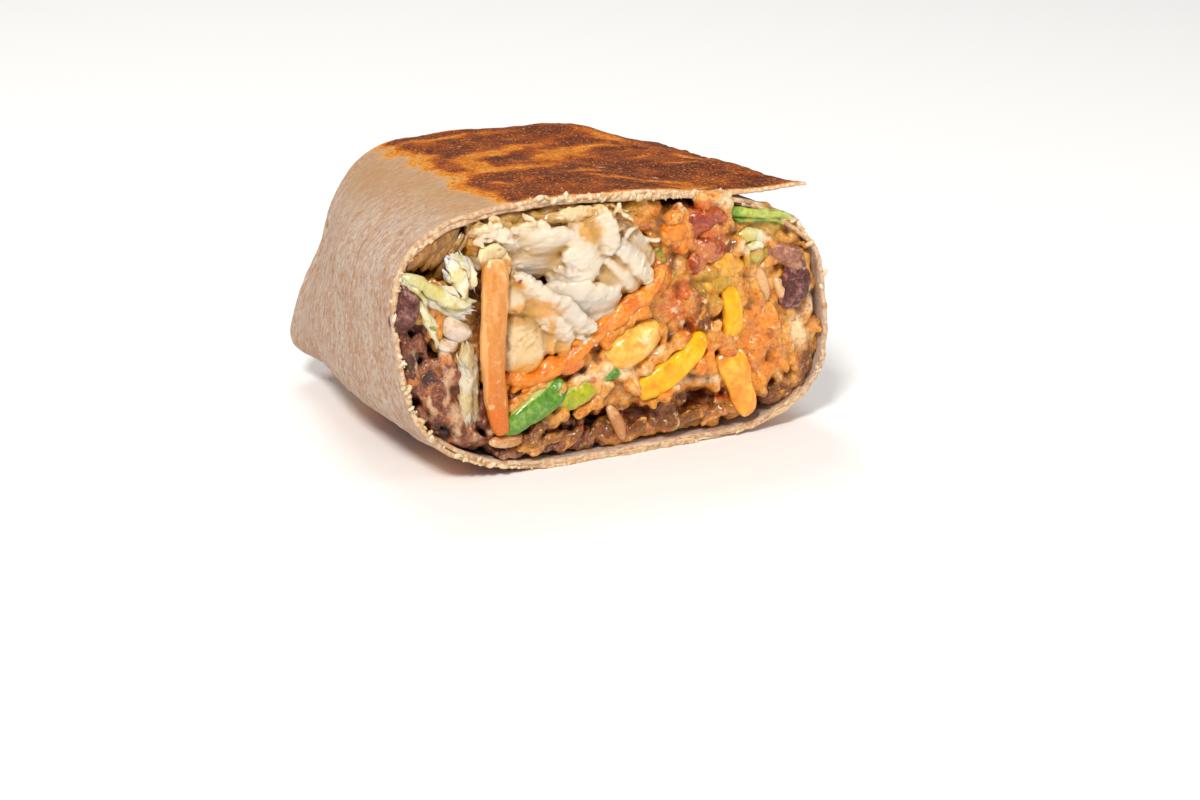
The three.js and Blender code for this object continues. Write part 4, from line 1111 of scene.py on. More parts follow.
mash = {
    "spacing": 2.2, "lump": (1.6, 3.4), "smallSpacing": 2.7, "small": (0.8, 1.7), "voxel": 0.32,
    "skinForm": dict(lean=0.3, nod=0.2, dents=0.16, columns=20, rows=14),
    "smearForm": dict(thick=2.4, square=2.4, blunt=3, twist=(0.3, -0.3), ruffle=0.7, ruffleSize=4, rough=0.4,
                      roughSize=1.8, columns=20, rows=40),
    # smears of mash that run along the wall: paths of x, z; width
    "smears": [([(-40.6, 31), (-38.8, 24), (-35.6, 17), (-30.2, 10.6), (-24, 6.6)], 3.2),
               ([(-36.2, 25), (-34, 19.6), (-31, 14.4), (-26.6, 9.8)], 3),
               ([(-33, 26.5), (-31.4, 22.5), (-30.2, 18), (-30.6, 14.6)], 2.6),
               ([(-23.6, 4.8), (-16, 4), (-8, 3.9)], 2)],
    # bean skins and halves: x, z, long, high, turn
    "skins": [(-38.8, 20.6, 6.4, 2.8, -1.15), (-33.2, 14, 6.4, 2.8, -0.9), (-37.4, 27.6, 4.4, 2.6, -1.3),
              (-31.2, 21.6, 4.6, 2.8, 0.8), (-27.4, 19.2, 3.4, 2.8, 1.2), (-35.2, 23.4, 3.6, 2.4, 0.4),
              (-29.6, 8.2, 5.4, 2.4, -0.7)],
    "pale": [(-33, 19.6, 0.9, 4.2), (-30.4, 12.8, 1.4, 3.6), (-27.2, 14.6, 1, 5), (-24.6, 8.4, 3, 1.1),
             (-32, 25.2, 1.8, 1.4), (-38.4, 24.5, 0.8, 3), (-35.6, 15.6, 0.7, 2.6), (-28.6, 20.4, 1, 2.6)],
    "purple": [(-39.6, 22.5, 1.8, 6.5), (-33.6, 11.4, 4, 2.2), (-17, 4.6, 9, 1.4), (-34.6, 27.5, 2.2, 2.2),
               (-28, 18.8, 1.5, 2.2), (-35.8, 20.8, 1.8, 2.6), (-38, 30.5, 2, 2.4)],
}


def makeMash():
    lumps = crustLumps(isMash, mash["spacing"], mash["lump"], 14, -0.4, -1.0)
    lumps += crustLumps(isMash, mash["smallSpacing"], mash["small"], 15, 0.3, -1.0)
    for k, (x, z, long, high, turn) in enumerate(mash["skins"]):
        lumps.append(pebble((x, 1.3, z), (long, 2.6, high), turn, seed=40 + k, **mash["skinForm"]))
    for k, (path, width) in enumerate(mash["smears"]):
        line = [(x, 1.2 - 0.5 * (j % 2), z) for j, (x, z) in enumerate(path)]
        lumps.append(ribbon(line, width, seed=61 + k, **mash["smearForm"]))
    points, faces, normals = fused(lumps + backing(isMash, 2.8, 8.0), mash["voxel"])
    relief = 0.2 * grained(points, 1.5, 111, layers=3) + ridged(points, 0.25, 2.2, 114, -1.1, 1.8) - 0.05
    points = points + normals * (relief * smooth((6 - points[:, 1]) / 3))[:, None]
    masks = {name: spread(points, mash[name]) for name in ("pale", "purple")}
    # painted shade: darker in the hollows and where the mash lies more than 4.2 mm back
    masks["crackShade"] = np.maximum(cavities(points), smooth((points[:, 1] - 4.2) / 2.5))
    finish = foodFinish("beanMash", {
        "colours": ("#43190f", "#87492e", "#cb9068"), "patchSize": 2.2, "grainSize": 0.7,
        "streak": (0.9, 1, 0.45), "contrast": 0.7,
        "masks": [("purple", "#32100f", 0.85), ("pale", "#deb48c", 0.85)],
        "spots": [("#2c0c0a", 1.4, 0.38), ("#b0491c", 1.6, 0.38), ("#cf7c3c", 2.2, 0.44),
                  ("#e2b48c", 1.0, 0.4)],
        # the crack colour is painted shade
        "crackShade": "#1d0604", "coat": 0.3, "scatter": 0.12, "gloss": (0.15, 0.45), "specular": 0.35,
        "bump": ((1.0, 0.28), (0.4, 0.14)),
    })
    newPiece("bean_mash_packed", points, faces.tolist(), finish, ("bean_mash",), masks)


makeMash()

fish = {
    "voxel": 0.27,
    "flakeForm": dict(square=4, blunt=3.2, ruffle=0.35, ruffleSize=6, rough=0.05, roughSize=1.4,
                      widths=(0.92, 1), columns=64, rows=64, groove=0.02, fray=0.12),
    "roundForm": dict(square=3.2, dents=0.02, columns=40, rows=30),
    "fibreForm": dict(square=2.6, blunt=3, ruffle=0.4, ruffleSize=1.6, rough=0.08, roughSize=0.8, hollow=0.1,
                      widths=(1, 0.6), columns=14, rows=20, groove=0.1, torn=0.7, fray=0.2),
    # flakes: path of x, y, z; width, thickness, tip towards the cut, torn ends, dish
    "upper": [
        ([(-27, 4.2, 43), (-14, 4.2, 44.5), (1, 4.4, 43)], 12, 6, 0, 1, 0),
        ([(-20.8, 1.6, 43.6), (-17, 0.2, 44.2), (-12.4, -0.6, 43.4), (-7.4, 0.2, 42.6)], 9, 1.9, 0.42, 0.8,
         0.5),
        ([(-20, 2.2, 40.6), (-15.6, 1.2, 40.4), (-11.4, 0.9, 39.6), (-7.2, 1.6, 38.6)], 7.6, 2, 0.25, 0.5,
         0.6),
        ([(-6.4, -0.2, 47), (-5.6, -1.4, 43.4), (-5.6, -1.8, 39.4), (-6.6, -0.9, 34.8)], 8.2, 2, -0.28, 0.4,
         0.9),
        ([(-10.8, 1, 41.6), (-10, 0.2, 38.4), (-10, 0.6, 35)], 5, 1.8, 0.3, 0.6, 0.3),
        ([(-2.6, 1.2, 49), (-2.2, -0.9, 46.6), (-1.2, -1.2, 43.4), (-1.6, 0.4, 40)], 6, 2.2, 0.4, 1.2, 0.4),
        ([(-26.4, 1.8, 46), (-23.6, 0.2, 46.4), (-20.6, 0, 45), (-18.6, 1.2, 42.6)], 5, 1.6, 0.45, 1.4, 0.5),
        ([(-15.8, 1.4, 47.8), (-11, 0.2, 47.2), (-6, 0.2, 47.6), (-1, 1.4, 47.6)], 3.6, 2, 0.7, 1.4, 0.3),
        ([(-24.2, 2.8, 43.6), (-21.8, 1.8, 42), (-19.4, 2, 39.8)], 5, 1.6, 0.2, 1, 0.3),
    ],
    "right": [
        ([(-6, 4.2, 38), (2, 4.4, 35), (8, 4.8, 32)], 12, 6, 0, 1, 0),
        ([(-1.6, 1, 43.8), (2.4, -0.9, 41.4), (6.2, -1.1, 37.6), (8.8, 0.4, 33.6)], 4.4, 1.8, -0.55, 0.5,
         0.4),
        ([(-2, 1, 40.6), (1.4, -0.5, 38), (4.2, -0.6, 35.2), (6.6, 0.8, 32)], 4, 1.7, -0.5, 0.5, 0.4),
        ([(2, 1.6, 45.2), (5.4, 0.4, 42.8), (8.2, 0.4, 39.4), (9.6, 1.4, 35.6)], 3.6, 1.6, -0.5, 0.6, 0.3),
        ([(-3.2, 1.6, 38.6), (-1, 0.5, 36.4), (1.6, 0.6, 33.8)], 4, 1.6, -0.3, 0.5, 0.3),
        ([(-13, 1.4, 33.2), (-8.2, 0, 32.2), (-3.2, -0.2, 31.2), (2.8, 1, 30.8)], 9.2, 2.2, 0.35, 0.5, 1),
        ([(-7.6, 1.8, 36.2), (-3, 1, 34.8), (1.2, 0.8, 33.4), (4.2, 1.6, 32)], 5.6, 1.8, 0.4, 0.5, 0.4),
    ],
    "lower": [
        ([(-20, 4.8, 34), (-14, 5, 27), (-11, 5.2, 20)], 13, 6, 0, 1, 0),
        ([(-19, 0.2, 37.6), (-15.6, -1.3, 34.8), (-11.8, -1.3, 30.8), (-7.8, -0.7, 27.4), (-4.2, 0.2, 25)],
         7.2, 2, 0.62, 1.1, 0.7),
        ([(-17.6, 0.2, 34.2), (-13.6, -0.9, 30.4), (-10.2, -0.7, 26.6), (-7.4, 0.3, 23.6)], 5, 1.8, 0.5, 1,
         0.4),
        ([(-20.2, 0.8, 36.2), (-19.4, -0.5, 34), (-18.8, -0.6, 31.6)], 4.4, 1.8, 0.2, 0.6, 0.3),
        ([(-12.6, 1.8, 29.6), (-12.3, 0.8, 26.2), (-11.8, 1, 22)], 3.6, 2.4, 0.6, 0.6, 0.2),
        ([(-10.2, 1.2, 26.8), (-9.2, 0.3, 24.2), (-8.6, 1, 21.2)], 3.6, 1.8, 0.4, 0.9, 0.2),
        ([(-7.4, 0.9, 25.4), (-6, 0.3, 24), (-4.8, 1, 22.6)], 2, 1.4, 0.3, 1, 0.2),
    ],
    # round smooth lumps: x, y, z, long, deep, high, turn
    "round": {"upper": [], "right": [(-4.4, 1.8, 30.6, 15, 5, 7.4, -0.1)],
              "lower": [(-16.6, 2.5, 24.9, 12.4, 6.4, 9, 1.56), (-16.4, 1.5, 31.6, 8.8, 4.4, 2.2, -0.12)]},
    # where torn fibres stick out: lowest and highest x, lowest and highest z, how many
    "torn": {"upper": [(-26.5, -18, 44.2, 48.4, 22), (-17, 3, 46.6, 48.8, 18), (-2, 4, 43.5, 47.5, 8)],
             "right": [(2, 9, 41, 44.6, 5)], "lower": [(-7.5, -2.6, 23, 26.4, 12), (-20, -17, 36, 38, 5)]},
    # the slabs: node, seed, which way the fibres lie
    "slabs": {"upper": ("fish_1", 151, 0.08), "right": ("fish_2", 161, 0.8), "lower": ("fish_3", 171, 0.72)},
    # where its colour changes: x, z, half width, half height
    "amber": [(-16, 31.4, 5.4, 2.2), (-4.4, 46, 2.4, 2.8), (-14, 18.8, 9, 2)],
    "faintAmber": [(-12.5, 26, 1.2, 5.4), (-9.4, 22.6, 3.4, 1.8), (-19, 36.6, 1.2, 1)],
    "clear": [(-4, 31, 8, 3.4), (4.6, 42, 4, 3), (-14.6, 39.6, 5, 2.4), (-9.6, 37, 2, 4), (-21, 43, 3, 2)],
    "cream": [(-17, 24.6, 4.4, 8)],
    "tornTip": (1, -5.4, 25.2, 2.6, 2.4),
}


def makeFish():
    finish = fishFinish()
    for name, (node, seed, lie) in fish["slabs"].items():
        random = np.random.default_rng(seed)
        flakes = []
        for k, (path, width, thick, tip, torn, dish) in enumerate(fish[name]):
            flakes.append(ribbon(path, width, thick, twist=(tip, tip + 0.25), hollow=dish, torn=torn,
                                 seed=seed + 7 * k, **fish["flakeForm"]))
        for k, (x, y, z, long, deep, high, turn) in enumerate(fish["round"][name]):
            flakes.append(pebble((x, y, z), (long, deep, high), turn, seed=seed + k, **fish["roundForm"]))
        for low, high, bottom, top, count in fish["torn"][name]:
            for k in range(count):
                spot = (random.uniform(low, high), random.uniform(-1.2, 1.4), random.uniform(bottom, top))
                angle, reach = random.uniform(-0.9, 0.8), random.uniform(1.0, 2.6)
                way = np.array((math.cos(angle), random.uniform(-0.5, 0.5), math.sin(angle))) * reach
                path = [spot - way, spot + random.normal(0, 0.4, 3), spot + way]
                width, thick = random.uniform(0.8, 1.9), random.uniform(0.7, 1.1)
                flakes.append(ribbon(path, width, thick, twist=(random.uniform(-0.8, 0.8), 0.4),
                                     seed=seed + 90 + k, **fish["fibreForm"]))
        points, faces, normals = fused(flakes, fish["voxel"])
        points = fishRelief(points, normals, seed, lie)
        masks = {
            # painted shade: darker in hollows at two scales and further back
            "crackShade": np.maximum(cavities(points, 0.9, 1.0), 0.9 * cavities(points, 1.8, 1.5))
            + 0.4 * smooth((points[:, 1] - 1.5) / 3),
            "amber": np.maximum(spread(points, fish["amber"]), 0.9 * spread(points, fish["faintAmber"])),
            "clear": spread(points, fish["clear"]),
            "cream": np.maximum(spread(points, fish["cream"]), smooth((points[:, 2] - 46.4) / 2)),
            # painted highlight: the further a part stands forward of the cut face, the lighter
            "ridgeHighlight": np.clip(-points[:, 1] / 2.2, 0, 1),
        }
        newPiece(node + "_flaked", points, faces.tolist(), finish, (node,), masks)


def fishRelief(points, normals, seed, lie):
    # fine fibres along each flake, ragged where the mass is torn
    soft = layeredNoise(points, 3.0, seed + 1, 2)
    torn = smooth((grained(points, 4, seed + 2) - 0.2) / 0.3)
    left = smooth((-17 - points[:, 0]) / 3) * smooth((points[:, 2] - 42) / 2)
    tip = swelling(points[:, 0], points[:, 2], fish["tornTip"])
    torn = np.maximum.reduce([torn, left, tip, smooth((points[:, 2] - 45.5) / 1.6)])
    fibres = ridged(points, 1, 1.3, seed + 3, lie, 3.2, 2) - 0.25
    crumbs = ridged(points, 1, 1.2, seed + 4, layers=2) - 0.25
    return points + normals * (0.1 * soft + 0.2 * fibres + (0.25 * fibres + 0.45 * crumbs) * torn)[:, None]


def fishFinish():
    f = Finish("whiteFish", 0.28, 0.35, (1.0, 0.7, 0.4), 0.6, 0.45)
    f.fill(f.shader, {"Subsurface Scale": 0.0016})
    fine = f.noise(0.8, 4, 0.65, 0.3)
    broad = f.noise(4.2, 3, 0.6, 0.6)
    fibre = f.noise(0.5, 3, 0.6, 0.2, f.stretched((0.5, 0.7, 1)))
    colour = f.ramp(broad, [(0.3, "#c9a878"), (0.5, "#dac29c"), (0.72, "#e7d8c0")])
    colour = f.over(colour, f.mask("cream"), 0.8, "#e8be74")
    # painted highlight on the parts standing forward
    colour = f.over(colour, f.mask("ridgeHighlight"), 0.5, "#f2e8d8")
    colour = f.over(colour, f.step(fibre, 0.52, 0.74), 0.15, "#cdb088")
    colour = f.over(colour, f.mask("clear"), 0.8, "#cdc4b8")
    colour = f.over(colour, f.step(f.shaken(f.mask("amber"), fine, 0.8), 0.15, 0.7), 0.85, "#e09a2c")
    stain = f.step(f.noise(3.2, 4, 0.6, 1.2), 0.56, 0.7)
    colour = f.over(colour, stain, 0.4, "#e4b95e")
    # painted shade: yellow-brown in the hollows and the deeper parts
    colour = f.over(colour, f.step(f.mask("crackShade"), 0.16, 0.9), 0.85, "#b98a3c")
    f.colour(colour)
    f.bumps((fibre, 0.12), (fine, 0.06))
    f.gloss(f.maths("ADD", 0.16, f.times(fine, 0.3)))
    return f.material


makeFish()
print("mash and fish laid in")

carrot = {
    "parts": [
        # the strip, the torn cap on it and a loose shaving
        dict(path=[(-22.8, -0.4, 42), (-23.3, -1.4, 35), (-24, -1.8, 26), (-23.6, -1.8, 16),
                   (-22.2, -1.2, 8.9)],
             width=5.5, thick=2.6, square=2.9, blunt=4.2, twist=(0.08, -0.16), rough=0.12, roughSize=3,
             hollow=0.16, widths=(0.98, 0.78), seed=201, columns=56, rows=130),
        dict(path=[(-25.2, 0, 41.2), (-23.6, -0.6, 43.1), (-21.4, 0.2, 42.6), (-20.6, 2, 41.4)],
             width=3.6, thick=1.3, square=3, blunt=5, twist=(0.7, 0.2), ruffle=0.5, ruffleSize=2.4,
             rough=0.08, roughSize=1, seed=203, columns=40, rows=50, torn=0.8, fray=0.15),
        dict(path=[(-20.9, 0.4, 43.2), (-20.2, 0.2, 41), (-20.4, 0.9, 38.4)], width=1.8, thick=0.7, square=3,
             blunt=4, twist=(0.5, 0.1), ruffle=0.4, ruffleSize=2, rough=0.05, seed=204, rows=30, torn=0.6,
             fray=0.2),
    ],
}


def makeCarrot():
    points, faces = gathered([ribbon(**part) for part in carrot["parts"]])
    grooves = 0.03 * np.sin(points[:, 0] * 7 + layeredNoise(points * (1, 1, 0.2), 2, 204) * 2)
    normals = meshNormals(points, faces)
    uneven = 0.13 * layeredNoise(points * (1, 1, 0.45), 1.6, 205) + 0.2 * softNoise(points * (0.4, 0.4, 1),
                                                                                    4.2, 207)
    points = points + normals * (grooves + uneven)[:, None]
    masks = {
        "low": smooth((35 - points[:, 2]) / 20),
        "sauce": smooth((17 - points[:, 2] + 4 * layeredNoise(points, 4, 206)) / 7),
        "pale": smooth((points[:, 2] - 39.5) / 4),
        "edge": smooth((np.abs(points[:, 0] + 23.3) - 2.0) / 0.6),
    }
    finish = foodFinish("carrot", {
        "colours": ("#cf7e2a", "#df974a", "#eeb77c"), "patchSize": 3.2, "grainSize": 0.8,
        "streak": (1, 1, 0.3),
        "masks": [("low", "#d47608", 0.85), ("edge", "#eebd7c", 0.5), ("pale", "#f0dfae", 0.85),
                  ("sauce", "#dc6c08", 0.75)], "spots": [("#cf6418", 1.6, 0.38), ("#f0c890", 1.5, 0.4)],
                  "coat": 0.12, "scatter": 0.35,
        "gloss": (0.26, 0.5), "bump": ((1.2, 0.2), (0.5, 0.12)),
    })
    newPiece("carrot_cut", points, faces, finish, ("carrot_strip",), masks)


makeCarrot()

cabbage = {
    # node: strips as path, width, thickness, ruffle, tip towards the cut
    "cabbage_1": [
        ([(-41, 0.4, 40.4), (-38.6, -1, 40), (-35.4, -1.6, 38), (-31.6, -1.6, 35.2), (-27.4, -0.2, 34)], 2.6,
         0.6, 0.5, -0.5),
        ([(-40.4, 0.8, 39), (-37, -0.2, 38.4), (-33.4, -0.9, 35.6), (-28.6, -0.4, 32.4)], 2.4, 0.5, 0.6, 0.6),
        ([(-36.6, 0.6, 36.8), (-33, -0.2, 34), (-28.6, 0.4, 31.4)], 2, 0.5, 0.5, -0.2),
        ([(-34.2, -0.8, 38.4), (-31.4, -1.8, 37), (-29.6, -1.6, 34.4), (-27.2, -0.9, 33)], 1.5, 0.4, 0.8, 1),
        ([(-40.2, -0.2, 39.6), (-38.2, -1.3, 38), (-36.8, -1, 35.6)], 1.3, 0.4, 0.8, -0.9),
    ],
    "cabbage_2": [
        ([(-38.6, 0.4, 37.4), (-37.2, -0.7, 34.4), (-35.6, -0.9, 31), (-33.4, 0, 26.6)], 1.6, 0.5, 0.4, 0.5),
        ([(-36.6, 1, 34.6), (-34.8, 0.2, 31.5), (-33, 0.6, 28)], 1.4, 0.5, 0.4, -0.5),
    ],
    "cabbage_3": [
        ([(-31.2, 0.4, 43), (-30.6, -1, 40.6), (-29.6, -1.4, 37.8), (-28.6, -0.6, 34.6)], 3.2, 0.8, 0.7, 0.5),
        ([(-28.8, 0, 43.2), (-27.8, -0.8, 40.8), (-26.9, -0.4, 37)], 2.6, 0.8, 0.7, -0.4),
        ([(-32.6, 0.4, 40.2), (-30.8, -0.8, 38.6), (-29.6, -0.2, 36.6)], 2, 0.6, 0.6, 0.2),
        ([(-32, 0.2, 42.2), (-29.8, -1.2, 42), (-28.2, -1.4, 40.2), (-28.4, -0.6, 38.2)], 1.6, 0.4, 0.9, 0.9),
    ],
    "cabbage_4": [
        ([(-28.4, 0.2, 26.8), (-29, -0.8, 21.5), (-29, -1, 16.5), (-28.2, 0, 11.6)], 3, 0.6, 0.35, 0.35),
        ([(-27.2, 0.8, 25), (-27.2, 0.2, 20.5), (-27, 0.3, 15.5), (-26.6, 1, 11)], 2.6, 0.6, 0.5, -0.4),
        ([(-29.8, 0.4, 24), (-28.6, -0.6, 21.5), (-28.8, -0.4, 17.5), (-30, 0.4, 14.5)], 1.4, 0.4, 0.8, 0.8),
    ],
    "cabbage_5": [
        ([(26.6, 0.8, 38), (29.2, -0.6, 39.8), (32, -0.3, 39.6), (34.6, 0.6, 38.4)], 2.6, 0.9, 0.4, 0.4),
        ([(28, 0.6, 36.6), (31, 0, 37.8), (33.8, 0.6, 37.2)], 2, 0.8, 0.4, 0.2),
    ],
    "leaf_1": [
        ([(-38.6, 2.2, 40.6), (-37, 0.6, 43), (-33.8, 0.2, 45.8), (-29.4, 1, 48.2)], 3.2, 0.7, 0.5, 0.9),
        ([(-36.4, 1.8, 41.6), (-34.7, 0.6, 43.6), (-31.8, 0.4, 46.4)], 2.2, 0.6, 0.5, -0.8),
        ([(-34.4, 1.6, 41), (-33, 0.5, 43.2), (-29.8, 0.6, 47)], 2.2, 0.6, 0.5, 0.7),
        ([(-33, 1.8, 39.6), (-31.9, 0.8, 42.2), (-28.6, 0.8, 46.4)], 1.7, 0.6, 0.5, -0.6),
        ([(-31.6, 2.4, 40.4), (-30.2, 1.4, 42.8), (-27.2, 1.4, 46.2)], 1.8, 0.6, 0.4, 0.5),
    ],
    "leaf_2": [
        ([(25.4, 0.6, 44.8), (29.5, -0.9, 44.4), (33.5, -0.9, 43.7), (37, -0.4, 43.2), (40.2, 1, 41.4)], 2.2,
         0.8, 0.4, 0.5),
        ([(27, 0.6, 43), (31, -0.4, 43), (35.5, -0.2, 42.2), (39, 1, 40.6)], 1.5, 0.6, 0.4, -0.4),
    ],
}
shredForm = {
    "wider": 1.15, "thinner": 0.75, "curl": 1.3, "leafCurl": {"leaf_1": 0.5, "leaf_2": 0.8},
    "strip": dict(square=3.2, blunt=4, ruffleSize=3.2, rough=0.02, roughSize=0.9, hollow=0.5,
                  widths=(0.95, 0.65), columns=32, rows=90, groove=0.08, torn=1.3, fray=0.13),
    "kinds": {"leaf_1": "inner", "leaf_2": "lime", "cabbage_4": "sauced"},
    "slots": {"leaf_1": "leaf", "leaf_2": "green_leaf"},
}
shredLooks = {
    # each look's crack colour is painted shade on the deeper-lying parts
    "cabbage": {
        "colours": ("#dcc070", "#f2e2ae", "#fbf4da"), "patchSize": 3, "grainSize": 0.8,
        "streak": (0.6, 1, 0.6), "masks": [("rib", "#faf3df", 0.7), ("tip", "#c2b23e", 0.6)],
        "spots": [("#c9953f", 2.2, 0.38)], "crackShade": "#9c7030", "scatter": 0.5,
        "scatterColour": (0.9, 0.8, 0.3), "coat": 0.3, "gloss": (0.16, 0.4),
        "bump": ((0.9, 0.18), (0.4, 0.06)),
    },
    "sauced": {
        "colours": ("#ac8748", "#cbab74", "#e6d0a4"), "patchSize": 3, "grainSize": 0.8, "streak": (1, 1, 0.4),
        "masks": [("rib", "#efe3c8", 0.6), ("tip", "#b5863c", 0.7)], "spots": [("#b8773a", 1.8, 0.4)],
        "crackShade": "#7a4a20", "scatter": 0.5, "scatterColour": (0.9, 0.75, 0.4), "coat": 0.35,
        "gloss": (0.16, 0.4), "bump": ((0.9, 0.18), (0.4, 0.06)),
    },
    "inner": {
        "colours": ("#5a3408", "#96601e", "#c89448"), "patchSize": 2.6, "grainSize": 0.7,
        "streak": (1, 1, 0.4), "masks": [("rib", "#d0a468", 0.6), ("tip", "#6e4812", 0.7)],
        "spots": [("#7a4818", 1.2, 0.38)], "crackShade": "#2e1606", "scatter": 0.3,
        "scatterColour": (0.9, 0.7, 0.3), "coat": 0.35, "gloss": (0.25, 0.5),
        "bump": ((0.9, 0.18), (0.4, 0.06)),
    },
    "lime": {
        "colours": ("#8f9c2c", "#b3c24a", "#dde08a"), "patchSize": 2.4, "grainSize": 0.7,
        "masks": [("rib", "#dfe6a0", 0.6), ("tip", "#5f9a22", 0.85)], "spots": [("#a98b3a", 1.5, 0.33)],
        "crackShade": "#5a5a1c", "scatter": 0.4, "scatterColour": (0.7, 0.9, 0.3), "coat": 0.6,
        "gloss": (0.15, 0.35), "bump": ((0.8, 0.15),),
    },
}


def makeShreds():
    finishes = finishesOf(shredLooks, "Shred")
    for k, (node, strips) in enumerate(cabbage.items()):
        parts = []
        for j, (path, width, thick, ruffle, tip) in enumerate(strips):
            width, thick = width * shredForm["wider"], thick * shredForm["thinner"]
            curl = ruffle * shredForm["leafCurl"].get(node, shredForm["curl"])
            parts.append(ribbon(path, width, thick, twist=(tip, -tip * 0.8), ruffle=curl,
                                seed=220 + 17 * k + 5 * j, **shredForm["strip"]))
        points, faces = textured(parts, 0.025, 1.1, 230 + k)
        # the crack mask is painted shade: darker where a strip lies further back
        masks = {"rib": blotches(points, 4, 241 + k, 0.1), "tip": blotches(points, 5, 251 + k, 0.05),
                 "crackShade": smooth((points[:, 1] - 1.2) / 2.5)}
        finish = finishes[shredForm["kinds"].get(node, "cabbage")]
        newPiece(node + "_shreds", points, faces, finish, (node,), masks)


makeShreds()


onion = {
    "pieces": [
        dict(centre=(-30.3, 0.3, 29.4), size=(6, 2.8, 3.6), turn=-0.6, lean=0.5, nod=0.2, square=4.2,
             dents=0.07, dentSize=0.9, bend=0.5, seed=261, columns=40, rows=26),
        dict(centre=(-31.8, 0.8, 26.8), size=(4, 2.6, 2.4), turn=-0.2, lean=0.2, nod=0.3, square=3.8,
             dents=0.08, dentSize=0.9, bend=0.4, seed=263, columns=36, rows=24),
    ],
    "relief": (0.06, 1.6),
    "look": {
        "colours": ("#b98c62", "#d0b090", "#e8d8c4"), "patchSize": 2.2, "grainSize": 0.7, "scatter": 0.6,
        "masks": [("rib", "#f0e6d8", 0.5)], "spots": [("#b98a5c", 1.5, 0.34)],
        "scatterColour": (1, 0.85, 0.7), "coat": 0.6, "gloss": (0.15, 0.35), "bump": ((0.9, 0.16),),
    },
}


def makeOnion():
    points, faces = textured([pebble(**piece) for piece in onion["pieces"]], *onion["relief"], 264)
    masks = {"rib": blotches(points, 2.6, 265, 0.1, 0.3)}
    newPiece("onion_chunk", points, faces, foodFinish("onion", onion["look"]), ("onion_piece",),
             masks)


beans = {
    # node: pieces as x, y, z, long, deep, high, turn; then how wrinkled the skin is
    "bean_1": ([(-40, 1, 35, 10.4, 5.6, 5.2, 1.36)], 0.12),
    "bean_2": ([(38, 0.4, 35.4, 8.6, 5.2, 4.6, -0.35), (39.8, 0, 33.6, 6.8, 4.4, 4, -0.9)], 0.3),
    "bean_3": ([(40.2, 0.4, 28.8, 10.4, 6.4, 6.2, 1.25), (38.4, -0.4, 31, 5.8, 3.4, 2.2, 1.4)], 0.34),
}
beanForm = dict(dents=0.05, dentSize=0.8, bend=0.3, curve=0.7, columns=64, rows=52)
beanLooks = {
    "blackBean": {
        "colours": ("#30120f", "#623029", "#b08074"), "patchSize": 2.2, "grainSize": 0.6,
        # the pale worn patches here are a painted highlight
        "masks": [("wornAndSheen", "#b98a84", 0.85)], "spots": [("#1c0806", 1.3, 0.4)],
        "coat": 0.12, "scatter": 0.05, "gloss": (0.2, 0.45), "bump": ((0.8, 0.3), (0.35, 0.08)),
        "specular": 0.3,
    },
    "brownBean": {
        "colours": ("#6e3626", "#a86a4c", "#d8aa88"), "patchSize": 2, "grainSize": 0.6,
        # the worn patches here are darker skin
        "masks": [("wornAndSheen", "#54221e", 0.8)], "spots": [("#4a1c18", 1.2, 0.4), ("#e9c8ac", 1, 0.38)],
        "coat": 0.4, "scatter": 0.15, "gloss": (0.22, 0.45), "bump": ((0.8, 0.2), (0.35, 0.06)),
    },
}


def makeBeans():
    finishes = finishesOf(beanLooks)
    for k, (node, (bodies, wrinkled)) in enumerate(beans.items()):
        parts = []
        for j, (x, y, z, long, deep, high, turn) in enumerate(bodies):
            parts.append(pebble((x, y, z), (long, deep, high), turn, seed=271 + 3 * k + j, **beanForm))
        points, faces = gathered(parts)
        normals = meshNormals(points, faces)
        folds = np.abs(softNoise(points * (1, 1, 0.55), 1.5, 281 + k)) + 0.5 * np.abs(softNoise(points, 0.7,
                                                                                                285 + k))
        points = points - normals * (wrinkled * (1 - folds))[:, None] * 1.6
        # the worn patches are a painted highlight on the black bean_3 and darker skin on the brown bean_2;
        # bean_1 has none
        masks = {"wornAndSheen": blotches(points, 2.8, 291 + k, 0.15) * (node != "bean_1")}
        finish, slotName = ("brownBean", "brown_bean") if node == "bean_2" else ("blackBean", "black_bean")
        newPiece(node + "_skin", points, faces, finishes[finish], (node,), masks)


makeOnion()
makeBeans()
print("carrot, shreds and beans laid in")

